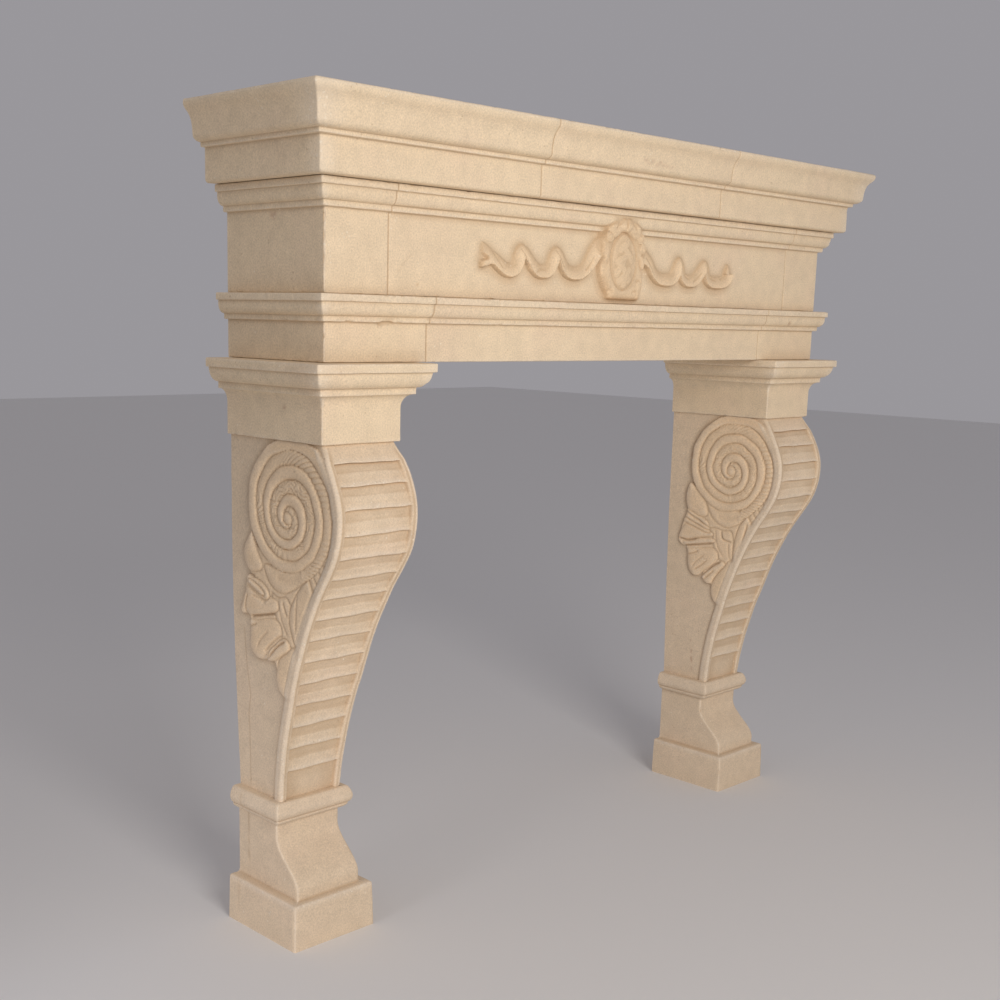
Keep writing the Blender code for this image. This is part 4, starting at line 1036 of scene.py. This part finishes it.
def leg(side, x_middle, seed, material):
    """One leg: a coarse base of plinth, foot and band, and a fine shaft, joined in one closed mesh."""
    edges, ramps = rib_levels(side)
    height = shaft_heights(edges, ramps)
    depth = front_depth(height)
    panel = np.interp(height, *panel_table(edges, ramps).T)
    # Each rib's ramp painted lighter as highlight, the flat behind its lip darker as painted shade with dust
    rib_light_and_shade = np.full(height.shape, RIB_SHADE)
    for low, high in zip(edges[:-1], ramps[:-1]):
        pale = (height >= low - 0.1 * MM) * smooth_step(high + 1.5 * MM, high - 1.5 * MM, height)
        rib_light_and_shade = np.maximum(rib_light_and_shade, RIB_SHADE + RIB_HIGHLIGHT * pale)
    halves = [half_section(height, depth, panel, rib_light_and_shade, half_seed, side) for half_seed in (seed, seed + HALF_SEED)]
    shaft_x, shaft_d, shaft_level, shaft_painted_light = (side_by_side(sign * near, far[:, ::-1])
                                                 for sign, near, far in zip((-1, 1, 1, 1), *halves))
    rows, columns = shaft_x.shape
    shaft_z = np.repeat((height + SHAFT_FOOT)[:, None], columns, axis=1)
    on_front = smooth_step(0.0, 6 * MM, shaft_d - (depth[:, None] - 22 * MM))
    drift = sum(amount * MM * np.sin(shaft_x / (wave * MM) + rate * shaft_z / length + sign * seed)
                for amount, wave, rate, length, sign in RIB_WAVER)
    mid_rows = smooth_step(0.0, 20 * MM, height) * smooth_step(SHAFT_HEIGHT, SHAFT_HEIGHT - 20 * MM, height)
    shaft_z = shaft_z + drift * on_front * mid_rows[:, None] * (np.abs(shaft_x) < 70 * MM)
    base = np.array([base_ring(row) for row in base_rows()])
    base_points = base[:, :, :3].reshape(-1, 3) * MM
    base_edge = base[:, :, 3].ravel()
    points = np.concatenate([base_points, np.stack([shaft_x, shaft_d, shaft_z], axis=-1).reshape(-1, 3)])
    points = points + leg_wear(points, base_edge, seed)
    points[:, 0] += x_middle
    points[:, 1] = BACK_Y - np.maximum(points[:, 1], 0.0)
    base_rows_count, base_columns = base.shape[:2]
    offset = len(base_points)
    base_share = corner_share(base[-1] * MM, base[-1, :, 1].max() * MM)
    shaft_share = corner_share(np.stack([shaft_x[0], shaft_d[0]], axis=1), shaft_d[0].max())
    faces = grid_faces(base_rows_count, base_columns) + grid_faces(rows, columns, offset)
    faces += bridge(range(offset - base_columns, offset), range(offset, offset + columns), base_share, shaft_share)
    faces += close_leg(base_rows_count, base_columns, rows, columns, offset)
    # Painted shade in hollows and inner corners, painted highlight on crests and edges, plus roll and rib painted
    # light
    hollows = painted_relief_shade(shaft_level, LEG_REACHES) + shaft_painted_light
    cavity = np.concatenate([base_edge, hollows.ravel()]) * (points[:, 1] < BACK_Y - 0.5 * MM)
    ochre = smooth_step(3.0 * MM, 5.0 * MM, shaft_level) * (1 - unit(shaft_painted_light / ROLL_HIGHLIGHT))
    piece(f"leg_{side}", points, faces, cavity, LEG_SHARP, material, np.concatenate([np.zeros(offset), ochre.ravel()]))


def leg_wear(points, base_edge, seed):
    """Small unevenness of the leg's surface, towards the inside. What stands on the floor stays as it is."""
    smooth = np.zeros(len(points))
    edge = np.concatenate([base_edge, smooth[len(base_edge):]])
    swell = 0.5 * MM * value_noise(points, 38 * MM, seed) + 0.25 * MM * value_noise(points, 12 * MM, seed + 1)
    chipped = wear(points, edge, seed + 7) - wear(points, smooth, seed + 7)
    amount = (swell + chipped) * (points[:, 2] > 0.5 * MM)
    return np.stack([np.where(points[:, 0] < 0, amount, -amount), -amount * (points[:, 1] > 1 * MM), smooth], axis=1)


def close_leg(base_rows_count, base_columns, rows, columns, offset):
    """The underside, the top and the flat back of a leg."""
    left = [r * base_columns for r in range(base_rows_count)] + [offset + r * columns for r in range(rows)]
    right = [i + base_columns - 1 for i in left[:base_rows_count]] + [i + columns - 1 for i in left[base_rows_count:]]
    back = [[left[i], left[i + 1], right[i + 1], right[i]] for i in range(len(left) - 1)]
    return [list(range(base_columns)), list(range(left[-1], right[-1] + 1)), *back]


# Materials


BLUSH = (0.80, 0.60, 0.45)
# Paler colour for worn edges and for painted highlight on edges, crests, the edge roll and rib ramps
PALE_WEAR_AND_HIGHLIGHT = (0.88, 0.80, 0.69)
CHIP = (0.93, 0.86, 0.74)
# Darker colour for dust and painted shade in hollows, inner corners and low carving, and for pits
SHADE_AND_DUST = (0.50, 0.345, 0.20)
RUST = (0.42, 0.22, 0.13)
OCHRE = (0.90, 0.67, 0.43)
COURSE_LIGHT = (0.83, 0.675, 0.475)
COURSE_DARK = (0.805, 0.650, 0.458)
LEG_LIGHT = (0.795, 0.640, 0.465)
LEG_DARK = (0.765, 0.613, 0.441)
BED_STRETCH = (2.0, 2.0, 16.0)
BED_SHADE = 0.86
BUMP_STRENGTH = 0.40
BUMP_DISTANCE = 1.4 * MM
SHEEN = 0.25


class Graph:
    """A few short calls to build a node tree."""

    def __init__(self, name):
        self.material = bpy.data.materials.new(name)
        self.material.use_nodes = True
        self.tree = self.material.node_tree
        self.shader = self.tree.nodes["Principled BSDF"]

    def put(self, socket, value):
        """Give a socket a link, a number or a colour."""
        if isinstance(value, bpy.types.NodeSocket):
            self.tree.links.new(value, socket)
        else:
            socket.default_value = (*value, 1.0) if socket.type == "RGBA" else value

    def add(self, kind, **values):
        """A node with its settings and inputs; an input's name has _ for each space."""
        node = self.tree.nodes.new(kind)
        for key, value in values.items():
            if key in node.bl_rna.properties:
                setattr(node, key, value)
            else:
                self.put(node.inputs[key.replace("_", " ")], value)
        return node

    def layer(self, name):
        return self.add("ShaderNodeAttribute", attribute_name=name).outputs["Fac"]

    def noise(self, vector, scale, detail, seed):
        return self.add("ShaderNodeTexNoise", noise_dimensions="4D", Scale=scale, Detail=detail, W=seed,
                        Vector=vector).outputs["Fac"]

    def ramp(self, value, *stops):
        """A ramp of colours or greys through stops of position and value."""
        node = self.add("ShaderNodeValToRGB", Fac=value)
        for element, (position, colour) in zip(node.color_ramp.elements, stops):
            element.position = position
            element.color = (*colour, 1.0) if isinstance(colour, tuple) else (colour, colour, colour, 1.0)
        return node.outputs["Color"]

    def mix(self, factor, first, second, blend="MIX"):
        node = self.add("ShaderNodeMix", data_type="RGBA", blend_type=blend)
        for socket, value in zip([s for s in node.inputs if s.enabled], (factor, first, second)):
            self.put(socket, value)
        return [s for s in node.outputs if s.enabled][0]

    def math(self, operation, first, second):
        node = self.add("ShaderNodeMath", operation=operation)
        self.put(node.inputs[0], first)
        self.put(node.inputs[1], second)
        return node.outputs["Value"]


def limestone(name, light, dark, seed):
    """Matte cut limestone: soft clouds and beds, fine grain, pits, pale bruises on edges, and in hollows dust
    with painted shade; edges and crests also get a painted highlight.
    """
    g = Graph(name)
    place = g.add("ShaderNodeTexCoord").outputs["Object"]
    beds = g.add("ShaderNodeMapping", Scale=BED_STRETCH, Vector=place).outputs["Vector"]
    cavity = g.layer("cavity")
    grain = g.noise(place, 330.0, 2.0, seed + 2)
    bruise = g.ramp(g.noise(place, 150.0, 2.0, seed + 3), (0.61, 0.0), (0.67, 1.0))
    rare = g.noise(place, 16.0, 2.0, seed + 4)
    clouds = g.noise(place, 34.0, 4.0, seed + 7)
    colour = g.ramp(g.noise(place, 3.4, 5.0, seed), (0.38, dark), (0.62, light))
    colour = g.mix(g.ramp(g.noise(beds, 2.4, 5.0, seed + 1), (0.50, 0.0), (0.72, 0.18)), colour,
                   tuple(c * BED_SHADE for c in light))
    colour = g.mix(g.ramp(g.noise(place, 7.0, 3.0, seed + 6), (0.50, 0.0), (0.74, 0.24)), colour, BLUSH)
    colour = g.mix(g.ramp(g.layer("ochre"), (0.0, 0.0), (1.0, 0.62)), colour, OCHRE)
    colour = g.mix(1.0, colour, g.ramp(clouds, (0.30, 0.94), (0.70, 1.04)), "MULTIPLY")
    colour = g.mix(1.0, colour, g.ramp(grain, (0.28, 0.84), (0.72, 1.10)), "MULTIPLY")
    # Painted shade together with dust: hollows, inner corners and low carving are darkened
    colour = g.mix(g.ramp(g.math("MULTIPLY", cavity, -1.0), (0.04, 0.0), (0.95, 0.50)), colour, SHADE_AND_DUST)
    # Painted highlight together with wear: edges, crests, the leg's edge roll and the rib ramps are lightened
    colour = g.mix(g.ramp(cavity, (0.12, 0.0), (1.0, 0.24)), colour, PALE_WEAR_AND_HIGHLIGHT)
    colour = g.mix(g.math("MULTIPLY", bruise, g.ramp(cavity, (0.35, 0.04), (0.9, 0.45))), colour, CHIP)
    colour = g.mix(g.ramp(g.layer("rust"), (0.03, 0.0), (1.0, 1.0)), colour, RUST)
    cells = g.add("ShaderNodeTexVoronoi", Scale=95.0, Vector=place)
    dot = g.ramp(cells.outputs["Distance"], (0.08, 1.0), (0.20, 0.0))
    pit = g.math("MULTIPLY", dot, g.ramp(rare, (0.56, 0.0), (0.64, 1.0)))
    fleck = g.math("MULTIPLY", dot, g.ramp(rare, (0.34, 1.0), (0.42, 0.0)))
    colour = g.mix(g.math("MULTIPLY", pit, 0.45), colour, SHADE_AND_DUST)
    colour = g.mix(g.math("MULTIPLY", fleck, 0.55), colour, CHIP)
    relief = g.math("ADD", g.math("MULTIPLY", grain, 0.45), g.noise(place, 85.0, 4.0, seed + 5))
    relief = g.math("SUBTRACT", relief, g.math("MULTIPLY", pit, 1.6))
    bump = g.add("ShaderNodeBump", Strength=BUMP_STRENGTH, Distance=BUMP_DISTANCE, Height=relief)
    g.put(g.shader.inputs["Base Color"], colour)
    g.put(g.shader.inputs["Roughness"], g.ramp(grain, (0.2, 0.80), (0.8, 0.94)))
    g.put(g.shader.inputs["Specular IOR Level"], SHEEN)
    g.put(g.shader.inputs["Normal"], bump.outputs["Normal"])
    return g.material


# Stage

FLOOR_SIZE = 30.0
FLOOR_COLOUR = (0.80, 0.79, 0.78)
FLOOR_ROUGHNESS = 0.9
WORLD_COLOUR = (0.97, 0.94, 1.0)
WORLD_STRENGTH = 0.33
# Name, place, what it looks at, size, watts, colour and the angle that its light spreads over
LIGHTS = (
    ("key", (-1.65, -3.7, 2.3), (-0.1, 0.0, 0.8), 1.6, 79.0, (1.0, 0.95, 0.90), pi),
    ("fill", (-2.3, -0.2, 0.40), (-0.75, 0.1, 0.15), 0.5, 0.50, (0.97, 0.95, 1.0), radians(50)),
    ("bounce", (-0.70, -1.9, 0.10), (0.15, 0.0, 1.15), 1.6, 4.6, (1.0, 0.94, 0.86), radians(90)),
)
CAMERA_PLACE = (-2.180, -1.8871, 1.1595)
CAMERA_TURN = (1.3812, -0.0230, -0.7704)
CAMERA_LENS = 48.564
CAMERA_SHIFT = (0.0401, 0.0782)


def area_light(name, place, target, size, power, colour, spread_angle):
    light = bpy.data.lights.new(name, "AREA")
    light.shape = "SQUARE"
    light.size = size
    light.energy = power
    light.color = colour
    light.spread = spread_angle
    obj = add_object(name, light)
    obj.location = place
    x, y, z = np.subtract(target, place)
    obj.rotation_euler = (np.arctan2(z, np.hypot(x, y)) + pi / 2, 0.0, np.arctan2(y, x) - pi / 2)


def build_stage():
    """Pale floor, soft light and the camera."""
    half = FLOOR_SIZE / 2
    mesh = bpy.data.meshes.new("floor")
    mesh.from_pydata([(-half, -half, 0), (half, -half, 0), (half, half, 0), (-half, half, 0)], [], [(0, 1, 2, 3)])
    paint = Graph("studio_floor")
    paint.put(paint.shader.inputs["Base Color"], FLOOR_COLOUR)
    paint.put(paint.shader.inputs["Roughness"], FLOOR_ROUGHNESS)
    mesh.materials.append(paint.material)
    floor = add_object("floor", mesh)
    world = bpy.data.worlds.new("studio")
    world.use_nodes = True
    background = world.node_tree.nodes["Background"]
    background.inputs["Color"].default_value = (*WORLD_COLOUR, 1.0)
    background.inputs["Strength"].default_value = WORLD_STRENGTH
    bpy.context.scene.world = world
    bpy.context.scene.view_settings.view_transform = "Standard"
    for light in LIGHTS:
        area_light(*light)
    data = bpy.data.cameras.new("camera")
    data.lens = CAMERA_LENS
    data.shift_x, data.shift_y = CAMERA_SHIFT
    camera = add_object("camera", data)
    camera.location = CAMERA_PLACE
    camera.rotation_euler = CAMERA_TURN
    bpy.context.scene.camera = camera


# The mantel

SEEDS = {"cornice": 101, "frieze": 211, "architrave": 331, "capital": 401, "leg": 500}


def course(name, keys, tones):
    """Left, middle and right blocks of one course."""
    for index, side in enumerate(("left", "middle", "right")):
        node = f"{name}_{side}"
        low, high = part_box(node)
        left = (-WALL_HALF_WIDTH, True) if side == "left" else (low.x, False)
        right = (WALL_HALF_WIDTH, True) if side == "right" else (high.x, False)
        block(node, keys, left, right, SEEDS[name] + 17 * index, tones[index],
              frieze_relief if node == "frieze_middle" else None)


def build_mantel():
    tones = [limestone(f"course_stone_{i}", COURSE_LIGHT, COURSE_DARK, 3.0 + 5 * i) for i in range(3)]
    leg_tones = [limestone(f"leg_stone_{i}", LEG_LIGHT, LEG_DARK, 31.0 + 7 * i) for i in range(2)]
    course("cornice", cornice_keys(), tones)
    for first, name in ((1, "frieze"), (2, "architrave")):
        low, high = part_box(f"{name}_left")
        keys = [(0.0, 0.0), *crown_keys(high.z - low.z - CROWN_HEIGHT)]
        course(name, keys, tones[first:] + tones[:first])
    for index, (side, x) in enumerate((("left", -LEG_X), ("right", LEG_X))):
        block(f"capital_{side}", capital_keys(), (x - CAPITAL_HALF_WIDTH, True), (x + CAPITAL_HALF_WIDTH, True),
              SEEDS["capital"] + index, tones[index + 1])
        leg(side, x, SEEDS["leg"] + 60 * index, leg_tones[index])


build_stage()
build_mantel()
